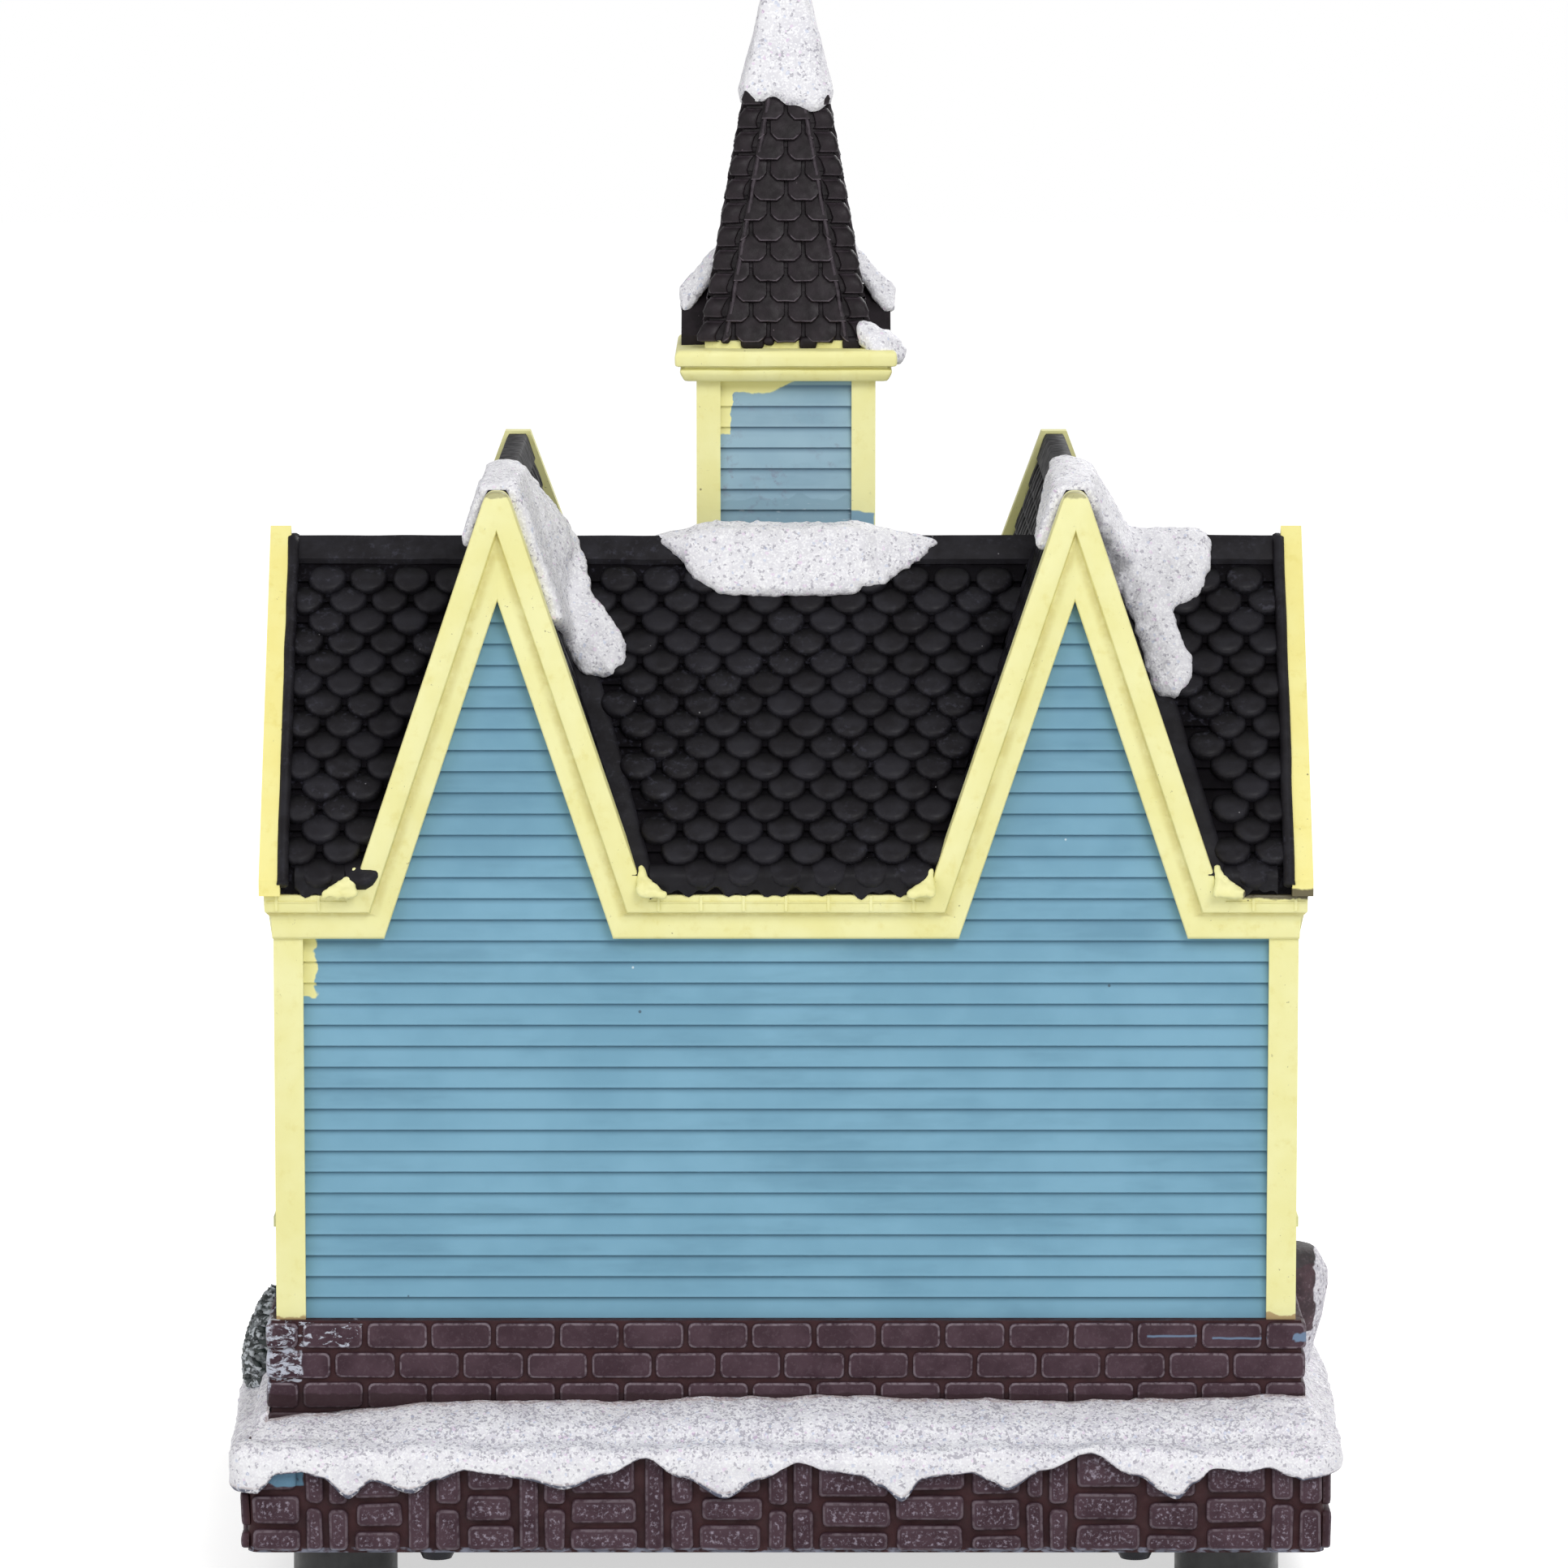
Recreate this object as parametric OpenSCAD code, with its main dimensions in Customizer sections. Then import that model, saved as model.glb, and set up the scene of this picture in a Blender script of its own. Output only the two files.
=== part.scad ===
// Lighted Christmas village house: a blue clapboard hall with two pairs of steep gables,
// a steeple, black scalloped roofs and a snow-covered brick base on four feet.
// The front is toward -Y. The origin is on the table, under the middle of the house.

/* [Base] */
// Width of the brick skirt
base_w = 156; // [152:1:170]
// Depth of the brick skirt
base_d = 125; // [120:1:140]
// Radius of the upright corners of the skirt
base_corner_r = 3; // [2:0.5:5]
// Height of the skirt, from its bottom edge to the deck
skirt_h = 13; // [11:0.5:18]
// Thickness of the skirt wall
skirt_t = 2.2; // [1.6:0.1:3]
// Thickness of the deck that the house stands on
deck_t = 2; // [1.5:0.1:3]
// Thickness of the bottom plate
plate_t = 2; // [1.5:0.1:3]
// Height of the feet
foot_h = 7; // [6.5:0.5:12]
// Diameter of each foot
foot_d = 15; // [12:0.5:18]
// Distance from each side of the base to the middle of a foot
foot_inset = 14.4; // [13:0.2:17]
// Height of the raised stones of the skirt
stone_relief = 0.6; // [0.3:0.1:1]
// Width of one square of the stone pattern
stone_cell = 10.5; // [8:0.5:14]
// Depth to which the raised stones and bricks are sunk into the face behind them
relief_root = 0.3; // [0.2:0.1:0.5]
// Width of the joints between stones and between bricks
joint_w = 0.7; // [0.4:0.1:1.2]

/* [House] */
// Width of the snowy yard on each side of the hall
side_yard = 6; // [4:0.5:9]
// Depth of the hall
body_d = 58; // [54:1:64]
// Depth of the yard behind the house, as a share of the depth of the base around the hall
rear_yard_share = 0.209; // [0.15:0.001:0.24]
// Projection of the two front wings, as a share of the depth of the base around the hall
wing_reach_share = 0.4627; // [0.37:0.0001:0.5]
// Width of each wing, as a share of the width of the hall
wing_share = 0.257; // [0.24:0.001:0.26]
// Distance from the middle of the house to the middle of a gable, as a share of the width of the hall
gable_share = 0.2847; // [0.28:0.0001:0.3]
// Height of the brick foundation above the deck
plinth_h = 18.5; // [16:0.5:24]
// Projection of the foundation beyond the siding
plinth_out = 2.6; // [2:0.1:3]
// Height of the walls, from the foundation to the eaves
wall_h = 62; // [54:1:72]
// Thickness of the moulded walls
wall_t = 2; // [1.6:0.1:3]
// Height of one row of siding
siding_pitch = 3.05; // [2.4:0.05:4]
// Depth of the lap of one row of siding
siding_lap = 0.5; // [0.3:0.05:0.8]
// Width of the corner boards
corner_board_w = 4.2; // [3:0.1:5.5]
// Thickness of the corner boards
corner_board_t = 1.2; // [0.8:0.1:1.6]
// Length of one brick with its joint
brick_pitch = 9.2; // [7:0.1:12]
// Height of one course of bricks
brick_course = 4.35; // [3.5:0.05:5.5]

/* [Roofs] */
// Height of the main ridge above the eaves
main_ridge_h = 47.5; // [40:0.5:52]
// Projection of the main roof beyond the front and rear walls
main_overhang = 3; // [2.2:0.1:3.4]
// Thickness of the main roof, measured upright
main_roof_t = 3.1; // [2.4:0.1:4]
// Height above the eaves at which the two slopes of a gable would meet
gable_apex_h = 62; // [57:0.5:66]
// Height that is cut off the point of a gable, for the ridge
gable_cut_h = 4.5; // [3.5:0.1:6]
// Projection of the eaves of a gable beyond the walls of its wing
gable_eave = 2.4; // [1.8:0.1:3.4]
// Thickness of the gable roofs, measured level
gable_roof_t = 1.7; // [1.3:0.1:1.9]
// Length of one row of shingles along the slope
shingle_row = 3.4; // [2.5:0.1:5]
// Height of the lower edge of a row of shingles over the next row
shingle_step = 0.5; // [0.3:0.05:0.8]
// Length of the smooth ridge cap down each slope
ridge_cap_l = 3.6; // [2:0.2:6]

/* [Trim] */
// Width of the gable trim, measured level
gable_trim_w = 6.8; // [5:0.1:8]
// Width of the raised outer part of the gable trim, measured level
gable_raised_w = 3.8; // [2.5:0.1:4.4]
// Height of the frieze under the eaves
frieze_h = 6.6; // [5:0.1:9]
// Height of the raised upper part of the frieze
frieze_raised_h = 2.7; // [1.5:0.1:4]
// Thickness of the flat part of the trim
trim_t = 2; // [1.4:0.1:2.6]
// Thickness added by the raised part of the trim
trim_raised_t = 1.6; // [0.8:0.1:2]
// Thickness of the rake boards at the two ends of the main roof
rake_t = 3; // [2:0.1:4]
// Height of the rake boards, measured upright
rake_h = 9; // [7:0.5:12]
// Height of the rake boards over the shingles
rake_rise = 2; // [1:0.1:3]

/* [Steeple] */
// Width of the square tower across its siding
tower_w = 25; // [23.5:0.1:26.5]
// Projection of the tower in front of the front wall of the hall
tower_out = 6; // [4:0.2:9]
// Height of the tower above the eaves
tower_h = 69.9; // [62:0.1:82]
// Thickness of the tower walls
tower_t = 1.8; // [1.4:0.1:2.4]
// Width of the corner boards of the tower
tower_board_w = 3.5; // [2.5:0.1:5]
// Thickness of the corner boards of the tower
tower_board_t = 0.6; // [0.4:0.1:1]
// Height of the lower moulding of the cornice
crown_h = 2; // [1.4:0.1:3]
// Height of the upper moulding of the cornice
cap_h = 2.6; // [1.8:0.1:4]
// Projection of the lower moulding beyond the siding
crown_out = 3.1; // [2.3:0.1:3.7]
// Projection of the upper moulding beyond the siding
cap_out = 4; // [3.8:0.1:4.8]
// Height of the strip that the spire stands on
strip_h = 1.2; // [0.8:0.1:2]
// Width of the spire at its foot
spire_w = 23.8; // [21:0.1:25]
// Height of the spire
spire_h = 66.5; // [55:0.5:80]
// Thickness of the spire wall, measured level
spire_t = 2; // [1.5:0.1:3]
// Height of one row of tiles on the spire
spire_row = 3.4; // [2.6:0.1:5]
// Width of each small gable at the foot of the spire
gablet_w = 12; // [9:0.5:14]
// Height of each small gable
gablet_h = 8.6; // [6:0.2:11]
// Distance from the middle of the tower to the face of a small gable
gablet_reach = 15.4; // [14:0.1:16]

/* [Snow] */
// Projection of the snow over the edge of the base
snow_out = 1.6; // [1:0.1:2.4]
// Extra swell of the snow at the middle of the two sides
snow_swell = 1.5; // [0.5:0.1:2.5]
// Height of the snow above the deck where it meets the foundation
snow_bank_h = 6.9; // [5:0.1:9]
// Height of the snow above the deck at its outer edge
snow_edge_h = 1.6; // [1:0.1:3]
// Depth of the longest drip below the deck
drip_h = 4.4; // [3:0.1:6]
// Upright thickness of the snow on the main roof
roof_snow_t = 3; // [2:0.1:4]
// Upright thickness of the snow on the gable roofs
gable_snow_t = 5; // [3.6:0.1:6]
// Thickness of the snow cap of the spire
spire_snow_t = 1.2; // [0.8:0.1:2]

/* [Openings] */
// Width of the side and wing windows
window_w = 12; // [9:0.5:14]
// Height of the side and wing windows
window_h = 27; // [20:0.5:34]
// Height of the window sills above the foundation
sill_h = 15; // [9:0.5:22]
// Width of the tower windows
louvre_w = 8; // [6:0.5:10]
// Height of the tower windows
louvre_h = 14; // [10:0.5:18]
// Width of the front door
door_w = 11; // [9:0.5:13]
// Height of the front door
door_h = 25; // [20:0.5:32]
// Width of the frames round the windows and the door
frame_w = 1.5; // [1:0.1:2.2]
// Projection of those frames from the siding
frame_t = 1; // [0.8:0.1:1.6]

/* [Lighting] */
// Diameter of one battery
cell_d = 14.2; // [13.8:0.1:14.5]
// Length of one battery
cell_l = 50.5; // [49:0.1:51]
// Thickness of the battery box walls
box_t = 1.5; // [1.2:0.1:2]
// Thickness of the sliding battery cover
cover_t = 1.6; // [1.2:0.1:2]
// Travel of the power switch
switch_travel = 3; // [2:0.2:4]
// Diameter of the large lamp in the hall
lamp_d = 5; // [3:0.5:8]
// Clearance between pieces that move
fit_gap = 0.3; // [0.2:0.05:0.4]

/* [Hidden] */

// Angle between one side of a rectangle and the next
quarter = 90;
// Smoothness of round pieces
$fn = 40;
// Overrun of every cut past the faces it goes through
cut = 60;

// Levels above the table
skirt_z = foot_h;
deck_z = skirt_z + skirt_h;
wall_z = deck_z + plinth_h;
eave_z = wall_z + wall_h;
ridge_z = eave_z + main_ridge_h;
apex_z = eave_z + gable_apex_h;
peak_z = apex_z - gable_cut_h;
cornice_z = eave_z + tower_h;
strip_z = cornice_z + crown_h + cap_h;
spire_z = strip_z + strip_h;
spire_top_z = spire_z + spire_h;

// Sizes of the hall, its wings and its yards, which follow the base
wall_w = base_w - 2 * side_yard;
wing_w = wall_w * wing_share;
gable_x = wall_w * gable_share;
gable_half_w = wing_w / 2 + gable_eave;
rear_yard = (base_d - body_d) * rear_yard_share;
wing_d = (base_d - body_d) * wing_reach_share;

// Places of the walls, seen from above
rear_y = base_d / 2 - rear_yard;
front_y = rear_y - body_d;
wing_y = front_y - wing_d;
ridge_y = rear_y - body_d / 2;
side_x = wall_w / 2;
tower_front_y = front_y - tower_out;
tower_y = tower_front_y + tower_w / 2;
tower_outer_w = tower_w + 2 * tower_board_t;

// Slopes of the roofs
main_run = body_d / 2 + main_overhang;
main_drop = main_ridge_h - main_roof_t;
main_slope = main_drop / main_run;
gable_lean = gable_half_w / gable_apex_h;
rake_run = main_run + trim_t;

// Yards of the base beside and in front of the house
plinth_x = side_x + plinth_out;
plinth_rear_y = rear_y + plinth_out;
plinth_front_y = wing_y - plinth_out;

// Sizes of the battery bay
cell_pitch = cell_d + fit_gap;
cell_count = 3;
bay_w = cell_count * cell_pitch + fit_gap;
contact_t = 0.5;
spring_l = 5;
nub_l = 1.2;
nub_d = 5.5;
bay_l = cell_l + spring_l + 2 * contact_t + fit_gap;
cover_gap = fit_gap;
cover_top_z = skirt_z - cover_gap;
cover_lap = 2.5;
cover_w = bay_l + 2 * cover_lap;
cover_l = bay_w + 2 * cover_lap;
rail_t = 1.4;
rail_lip = 1.3;
rail_lip_t = 0.9;
cell_z = cover_top_z + fit_gap + cell_d / 2;
bay_h = cell_z + cell_d / 2 + fit_gap - skirt_z - plate_t;
bay_y = ridge_y;
box_top_z = skirt_z + plate_t + bay_h + box_t;

// Sizes of the power switch, which is set in the bottom plate
switch_inset_x = 33;
switch_inset_y = 37.5;
switch_x = base_w / 2 - switch_inset_x;
switch_y = switch_inset_y - base_d / 2;
switch_body_l = 13;
switch_body_w = 7;
switch_body_h = 5.6;
switch_wall = 1;
knob_w = 3;
knob_l = 3.4;
knob_out = 2;
slider_l = 5;
slider_h = 2.4;

// Fasteners
screw_head_d = 6;
screw_head_h = 1.8;
screw_d = 2.8;
screw_l = 8.5;
boss_d = 7;
plate_screw_inset = 28;
plate_screw_x = base_w / 2 - plate_screw_inset;
plate_screw_y = base_d / 2 - skirt_t - boss_d / 2 - fit_gap;
boss_bite = 0.5;
house_boss_inset = wall_t + boss_d / 2 - boss_bite;
house_screw_l = 12;
house_boss_h = 15;

// Lamp board on its two posts over the battery box, and the lamp in the tower
board_l = 22;
board_w = 14;
board_t = 1.2;
post_h = 3;
post_d = 3;
board_z = box_top_z + post_h;
lamp_h = 8.6;
lamp_rim_d = lamp_d * 1.16;
lamp_rim_h = 1;
lead_d = 1.3;
bracket_t = 1.6;
tower_lamp_z = cornice_z - louvre_h - 4 * frame_w - lamp_h / 2;
louvre_z = cornice_z - louvre_h - 2 * frame_w;
slat_h = louvre_h / 14;

// Spire
spire_rows = floor(spire_h / spire_row);
spire_lean = spire_w / 2 / spire_h;
spire_step = 0.5;
spire_bite = 0.2;
spire_tip_w = 1.2;

// Barge boards of the wings
barge_rise = 0.4;
barge_out = 1.2;
barge_knee_h = 20;

// Snow over the base
snow_side_steps = 56;
snow_corner_steps = 4;
inner_corner_r = 1;
snow_gap = 0.4;
crest_in = 2.2;
crest_drop = 0.5;
edge_round = 0.5;

// Half of the width of a gable at a level, drawn in by inset
function gable_half(z, inset = 0) = (apex_z - z) * gable_lean - inset;

// Level of the top of the main roof at a distance from the ridge line
function main_top(run) = ridge_z - run * main_slope;

// Points of a stepped slope, from its upper to its lower end, in run and level.
// Each row is tucked in by the step at its upper edge and stands full at its lower edge.
function row_count(len) = max(1, floor((len - ridge_cap_l) / shingle_row));
function slope_points(x0, z0, x1, z1) =
  let (
    len = norm([x1 - x0, z1 - z0]),
    along = [x1 - x0, z1 - z0] / len,
    inward = [-abs(along[1]) * sign(x1 - x0), -abs(along[0])],
    rows = row_count(len),
    row = (len - ridge_cap_l) / rows)
  [for (i = [0 : rows])
    let (t = ridge_cap_l + i * row, p = [x0, z0] + along * t)
    each i < rows ? [p, p + inward * shingle_step] : [p]];

// Turns a list of points round
function turned(list) = [for (i = [len(list) - 1 : -1 : 0]) list[i]];

// Prism of a drawing in Y and Z, from one X to another
module along_x(x0, x1) {
  translate([x0, 0, 0]) rotate([90, 0, 90]) linear_extrude(x1 - x0) children();
}

// Prism of a drawing in X and Z, from one Y to another
module along_y(y0, y1) {
  translate([0, y1, 0]) rotate([90, 0, 0]) linear_extrude(y1 - y0) children();
}

// Prism of a drawing in X and Y, from one level to another
module upright(z0, z1) {
  translate([0, 0, z0]) linear_extrude(z1 - z0) children();
}

module rect(x0, x1, y0, y1) {
  translate([x0, y0]) square([x1 - x0, y1 - y0]);
}

module block(x0, x1, y0, y1, z0, z1) {
  translate([x0, y0, z0]) cube([x1 - x0, y1 - y0, z1 - z0]);
}

module mirrored_x() {
  children();
  mirror([1, 0, 0]) children();
}

// Outline of the house on the ground, made larger by grow
module footprint(grow) {
  rect(-side_x - grow, side_x + grow, front_y - grow, rear_y + grow);
  mirrored_x() rect(gable_x - wing_w / 2 - grow, gable_x + wing_w / 2 + grow, wing_y - grow, front_y);
  rect(-tower_w / 2 - grow, tower_w / 2 + grow, tower_front_y - grow, front_y);
}

module base_outline(shrink) {
  r = base_corner_r - shrink / 2;
  hull() {
    for (sx = [-1, 1], sy = [-1, 1]) {
      translate([sx * (base_w / 2 - shrink - r), sy * (base_d / 2 - shrink - r)]) circle(r);
    }
  }
}

// Clapboard profile for a wall whose outer face is at out and inner face at in
module siding_profile(out, in, z0, z1) {
  rows = ceil((z1 - z0) / siding_pitch);
  lap = siding_lap * sign(out - in);
  faces = [for (i = [0 : rows - 1]) each [
    [out, z0 + i * siding_pitch],
    [out - lap, z0 + (i + 1) * siding_pitch]]];
  intersection() {
    polygon(concat(faces, [[in, z0 + rows * siding_pitch], [in, z0]]));
    rect(min(in, out), max(in, out), z0, z1);
  }
}

// Courses of bricks on a face of length len, with their upper edge at the level z
module brick_pattern(len, z, courses) {
  for (c = [0 : courses - 1]) {
    top = z - c * brick_course - joint_w / 2;
    start = -brick_pitch * (c % 2) / 2;
    for (k = [0 : ceil(len / brick_pitch)]) {
      x0 = max(start + k * brick_pitch + joint_w / 2, 0);
      x1 = min(start + (k + 1) * brick_pitch - joint_w / 2, len);
      if (x1 - x0 > 2 * joint_w) rect(x0, x1, top - brick_course + joint_w, top);
    }
  }
}

// Squares of flat stones, laid level and upright by turns, on a face of length len
module stone_pattern(len, h) {
  cells = round(len / stone_cell);
  cell = len / cells;
  for (k = [0 : cells - 1]) {
    bars = k % 3 == 1 ? 2 : 3;
    translate([k * cell, 0]) {
      for (b = [0 : bars - 1]) {
        if (k % 2 == 0) {
          rect(joint_w / 2, cell - joint_w / 2, b * h / bars + joint_w / 2, (b + 1) * h / bars - joint_w / 2);
        } else {
          rect(b * cell / bars + joint_w / 2, (b + 1) * cell / bars - joint_w / 2, joint_w / 2, h - joint_w / 2);
        }
      }
    }
  }
}

// Raises a drawing from a face that starts at from and runs in the direction of angle
module on_face(from, angle) {
  translate([from[0], from[1], 0]) rotate([90, 0, angle]) translate([0, 0, -relief_root]) {
    linear_extrude(stone_relief + relief_root) children();
  }
}

/* Base */

module base_shell() {
  color([0.27, 0.19, 0.21]) {
    difference() {
      upright(skirt_z, deck_z) base_outline(stone_relief);
      upright(skirt_z - cut, deck_z - deck_t) base_outline(stone_relief + skirt_t);
      block(
        -side_x + house_boss_inset * 2, side_x - house_boss_inset * 2, front_y + wall_t, rear_y - wall_t,
        deck_z - cut / 2, deck_z + cut);
      for (p = house_screw_places()) {
        translate([p[0], p[1], deck_z - cut / 2]) cylinder(d = screw_d + fit_gap, h = cut);
      }
    }
    for (side = [0 : 3]) {
      skirt_face(side) stone_pattern(skirt_face_len(side), skirt_h - joint_w);
    }
    for (sx = [-1, 1], sy = [-1, 1]) {
      translate([sx * plate_screw_x, sy * plate_screw_y, skirt_z + plate_t]) {
        difference() {
          cylinder(d = boss_d, h = skirt_h - plate_t - deck_t);
          translate([0, 0, -cut / 2]) cylinder(d = screw_d, h = cut / 2 + screw_l - plate_t);
        }
      }
    }
  }
}

function skirt_face_len(side) = (side % 2 == 0 ? base_w : base_d) - 2 * base_corner_r;

// Puts a drawing on one of the four faces of the skirt: front, right, rear and left
module skirt_face(side) {
  half = (side % 2 == 0 ? base_d : base_w) / 2 - stone_relief;
  translate([0, 0, skirt_z]) rotate([0, 0, side * 90]) {
    on_face([-skirt_face_len(side) / 2, -half], 0) children();
  }
}

// Points of a rectangle with round corners, in a fixed order and number
function ring_points(x0, x1, y0, y1, r) =
  let (
    corners = [[x1 - r, y0 + r], [x1 - r, y1 - r], [x0 + r, y1 - r], [x0 + r, y0 + r]],
    arcs = [for (c = [0 : 3]) [for (k = [0 : snow_corner_steps])
      let (a = -quarter + c * quarter + k * quarter / snow_corner_steps)
      corners[c] + r * [cos(a), sin(a)]]])
  [for (c = [0 : 3])
    let (from = arcs[c][snow_corner_steps], to = arcs[(c + 1) % 4][0])
    each concat(
      arcs[c],
      [for (k = [1 : snow_side_steps - 1]) from + (to - from) * k / snow_side_steps])];

// Direction straight out of the ring at each of its points
ring_normals = [for (c = [0 : 3]) each concat(
  [for (k = [0 : snow_corner_steps])
    let (a = -quarter + c * quarter + k * quarter / snow_corner_steps) [cos(a), sin(a)]],
  [for (k = [1 : snow_side_steps - 1]) [cos(c * quarter), sin(c * quarter)]])];

// Depth of the drips along the rear edge, as shares of its length and of the drip height
rear_drip_shares = [
  [0, 0.75], [0.058, 0.1], [0.1, 0.95], [0.125, 0.5], [0.16, 0.8], [0.207, 0.05], [0.262, 0.4],
  [0.3, 0.65], [0.371, 0], [0.444, 0.9], [0.509, 0.05], [0.567, 0.35], [0.604, 1], [0.625, 0.4],
  [0.669, 0.2], [0.7, 0.65], [0.775, 0], [0.855, 0.9], [0.887, 0.1], [0.96, 0.35], [1, 0.7]];

// The share of the drip height at a share of the way along one of the four sides
function drip_share(side, share) = side == 1
  ? lookup(share, rear_drip_shares)
  : lookup((share * (side == 3 ? 1 : 0.8) + side * 0.37) % 1, rear_drip_shares);

// The side swell of the snow is greatest halfway along the two short sides
function swell(normal, y) = snow_swell * abs(normal[0]) * pow(cos(quarter * y / (base_d / 2 + snow_out)), 2);

module ground_snow() {
  outer = ring_points(-base_w / 2, base_w / 2, -base_d / 2, base_d / 2, base_corner_r);
  inner = ring_points(
    -plinth_x - snow_gap, plinth_x + snow_gap, plinth_front_y - snow_gap, plinth_rear_y + snow_gap,
    inner_corner_r);
  count = len(outer);
  side_count = count / 4;
  section = [for (i = [0 : count - 1])
    let (
      p = outer[i],
      q = inner[i],
      n = ring_normals[i],
      side = floor(i / side_count),
      share = (i % side_count) / side_count,
      dip = deck_z - drip_h * (0.1 + 0.9 * drip_share(side, share)),
      out = snow_out + swell(n, p[1]),
      toward = (p - q) / norm(p - q),
      crest = q + toward * max(norm(p - q) - crest_in, norm(p - q) / 2))
    [
      [q[0], q[1], deck_z],
      [q[0], q[1], deck_z + snow_bank_h],
      [crest[0], crest[1], deck_z + snow_edge_h + crest_drop],
      concat(p + n * (out - edge_round), deck_z + snow_edge_h - edge_round),
      concat(p + n * out, deck_z - edge_round),
      concat(p + n * (out - edge_round), dip + edge_round),
      concat(p + n * snow_out / 2, dip),
      concat(p, dip + edge_round),
      concat(p, deck_z)]];
  ring = len(section[0]);
  color([0.93, 0.93, 0.95]) polyhedron(
    points = [for (s = section) each s],
    faces = [for (i = [0 : count - 1], j = [0 : ring - 1])
      let (
        i2 = (i + 1) % count,
        j2 = (j + 1) % ring,
        a = i * ring + j,
        b = i2 * ring + j,
        c = i2 * ring + j2,
        d = i * ring + j2)
      each [[a, b, c], [a, c, d]]]);
}

// Snow of the yards between and beside the wings
module yard_snow() {
  color([0.93, 0.93, 0.95]) upright(deck_z, deck_z + snow_bank_h) {
    difference() {
      rect(-plinth_x, plinth_x, plinth_front_y, front_y - plinth_out);
      footprint(plinth_out);
      rect(-step_w / 2, step_w / 2, steps_front_y, front_y);
    }
  }
}

module foundation() {
  courses = floor((plinth_h - snow_bank_h / 2) / brick_course);
  color([0.27, 0.19, 0.21]) {
    upright(deck_z, wall_z) difference() {
      footprint(plinth_out - stone_relief);
      footprint(-wall_t);
    }
    plinth_faces() brick_pattern($len, wall_z, courses);
    for (p = house_screw_places()) {
      translate([p[0], p[1], deck_z]) difference() {
        cylinder(d = boss_d, h = house_boss_h);
        translate([0, 0, -cut]) cylinder(d = screw_d, h = cut + house_screw_l - deck_t);
      }
    }
  }
}

// Puts a drawing on the outer faces of the foundation that show
module plinth_faces() {
  face([plinth_x - joint_w, plinth_rear_y - stone_relief], 180, 2 * (plinth_x - joint_w)) children();
  face([plinth_x - stone_relief, front_y - plinth_out + joint_w], 90, body_d + 2 * (plinth_out - joint_w))
    children();
  face([-plinth_x + stone_relief, plinth_rear_y - joint_w], -90, body_d + 2 * (plinth_out - joint_w))
    children();
  for (side = [-1, 1]) {
    face(
      [side * gable_x - wing_w / 2 - plinth_out + joint_w, plinth_front_y + stone_relief], 0,
      wing_w + 2 * (plinth_out - joint_w)) children();
    face([side * gable_x + wing_w / 2 + plinth_out - stone_relief, plinth_front_y + joint_w], 90, wing_d)
      children();
    face([side * gable_x - wing_w / 2 - plinth_out + stone_relief, plinth_front_y + wing_d], -90, wing_d - joint_w)
      children();
  }
}

module face(from, angle, len) {
  $len = len;
  on_face(from, angle) children();
}

function house_screw_places() = [for (sx = [-1, 1], y = [front_y + house_boss_inset, rear_y - house_boss_inset])
  [sx * (side_x - house_boss_inset), y]];

module bottom_plate() {
  color([0.11, 0.11, 0.12]) {
    difference() {
      upright(skirt_z, skirt_z + plate_t) base_outline(stone_relief + skirt_t + fit_gap);
      block(-bay_l / 2, bay_l / 2, bay_y - bay_w / 2, bay_y + bay_w / 2, skirt_z - cut, skirt_z + cut);
      for (sx = [-1, 1], sy = [-1, 1]) {
        translate([sx * plate_screw_x, sy * plate_screw_y, skirt_z - cut / 2]) {
          cylinder(d = screw_d + fit_gap, h = cut);
        }
      }
      translate([switch_x, switch_y, 0]) {
        block(
          -knob_l / 2 - fit_gap, knob_l / 2 + switch_travel + fit_gap, -knob_w / 2 - fit_gap,
          knob_w / 2 + fit_gap, skirt_z - cut, skirt_z + cut);
      }
    }
    mirrored_x() translate([cover_w / 2 + fit_gap, bay_y, 0]) {
      rail_z = cover_top_z - cover_t - fit_gap;
      block(0, rail_t, -cover_l / 2, cover_l / 2, rail_z - rail_lip_t, skirt_z);
      block(-rail_lip, rail_t, -cover_l / 2, cover_l / 2, rail_z - rail_lip_t, rail_z);
    }
  }
}

module feet() {
  color([0.06, 0.06, 0.07]) {
    for (sx = [-1, 1], sy = [-1, 1]) {
      translate([sx * (base_w / 2 - foot_inset), sy * (base_d / 2 - foot_inset), 0]) {
        cylinder(d = foot_d, h = foot_h);
      }
    }
  }
}

// A self-tapping screw with its head down, standing on the level z
module screw(z, len) {
  translate([0, 0, z - screw_head_h]) {
    difference() {
      cylinder(d1 = screw_head_d - screw_head_h, d2 = screw_head_d, h = screw_head_h);
      for (turn = [0, 90]) {
        rotate([0, 0, turn]) translate([0, 0, screw_head_h / 4]) {
          cube([screw_head_d / 2, screw_head_h / 2, screw_head_h], center = true);
        }
      }
    }
    cylinder(d = screw_d, h = screw_head_h + len);
  }
}

module plate_screws() {
  color([0.72, 0.72, 0.74]) {
    for (sx = [-1, 1], sy = [-1, 1]) {
      translate([sx * plate_screw_x, sy * plate_screw_y, 0]) screw(skirt_z, screw_l);
    }
  }
}

module house_screws() {
  color([0.72, 0.72, 0.74]) {
    for (p = house_screw_places()) {
      translate([p[0], p[1], 0]) screw(deck_z - deck_t, house_screw_l);
    }
  }
}

/* Lighting */

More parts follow.
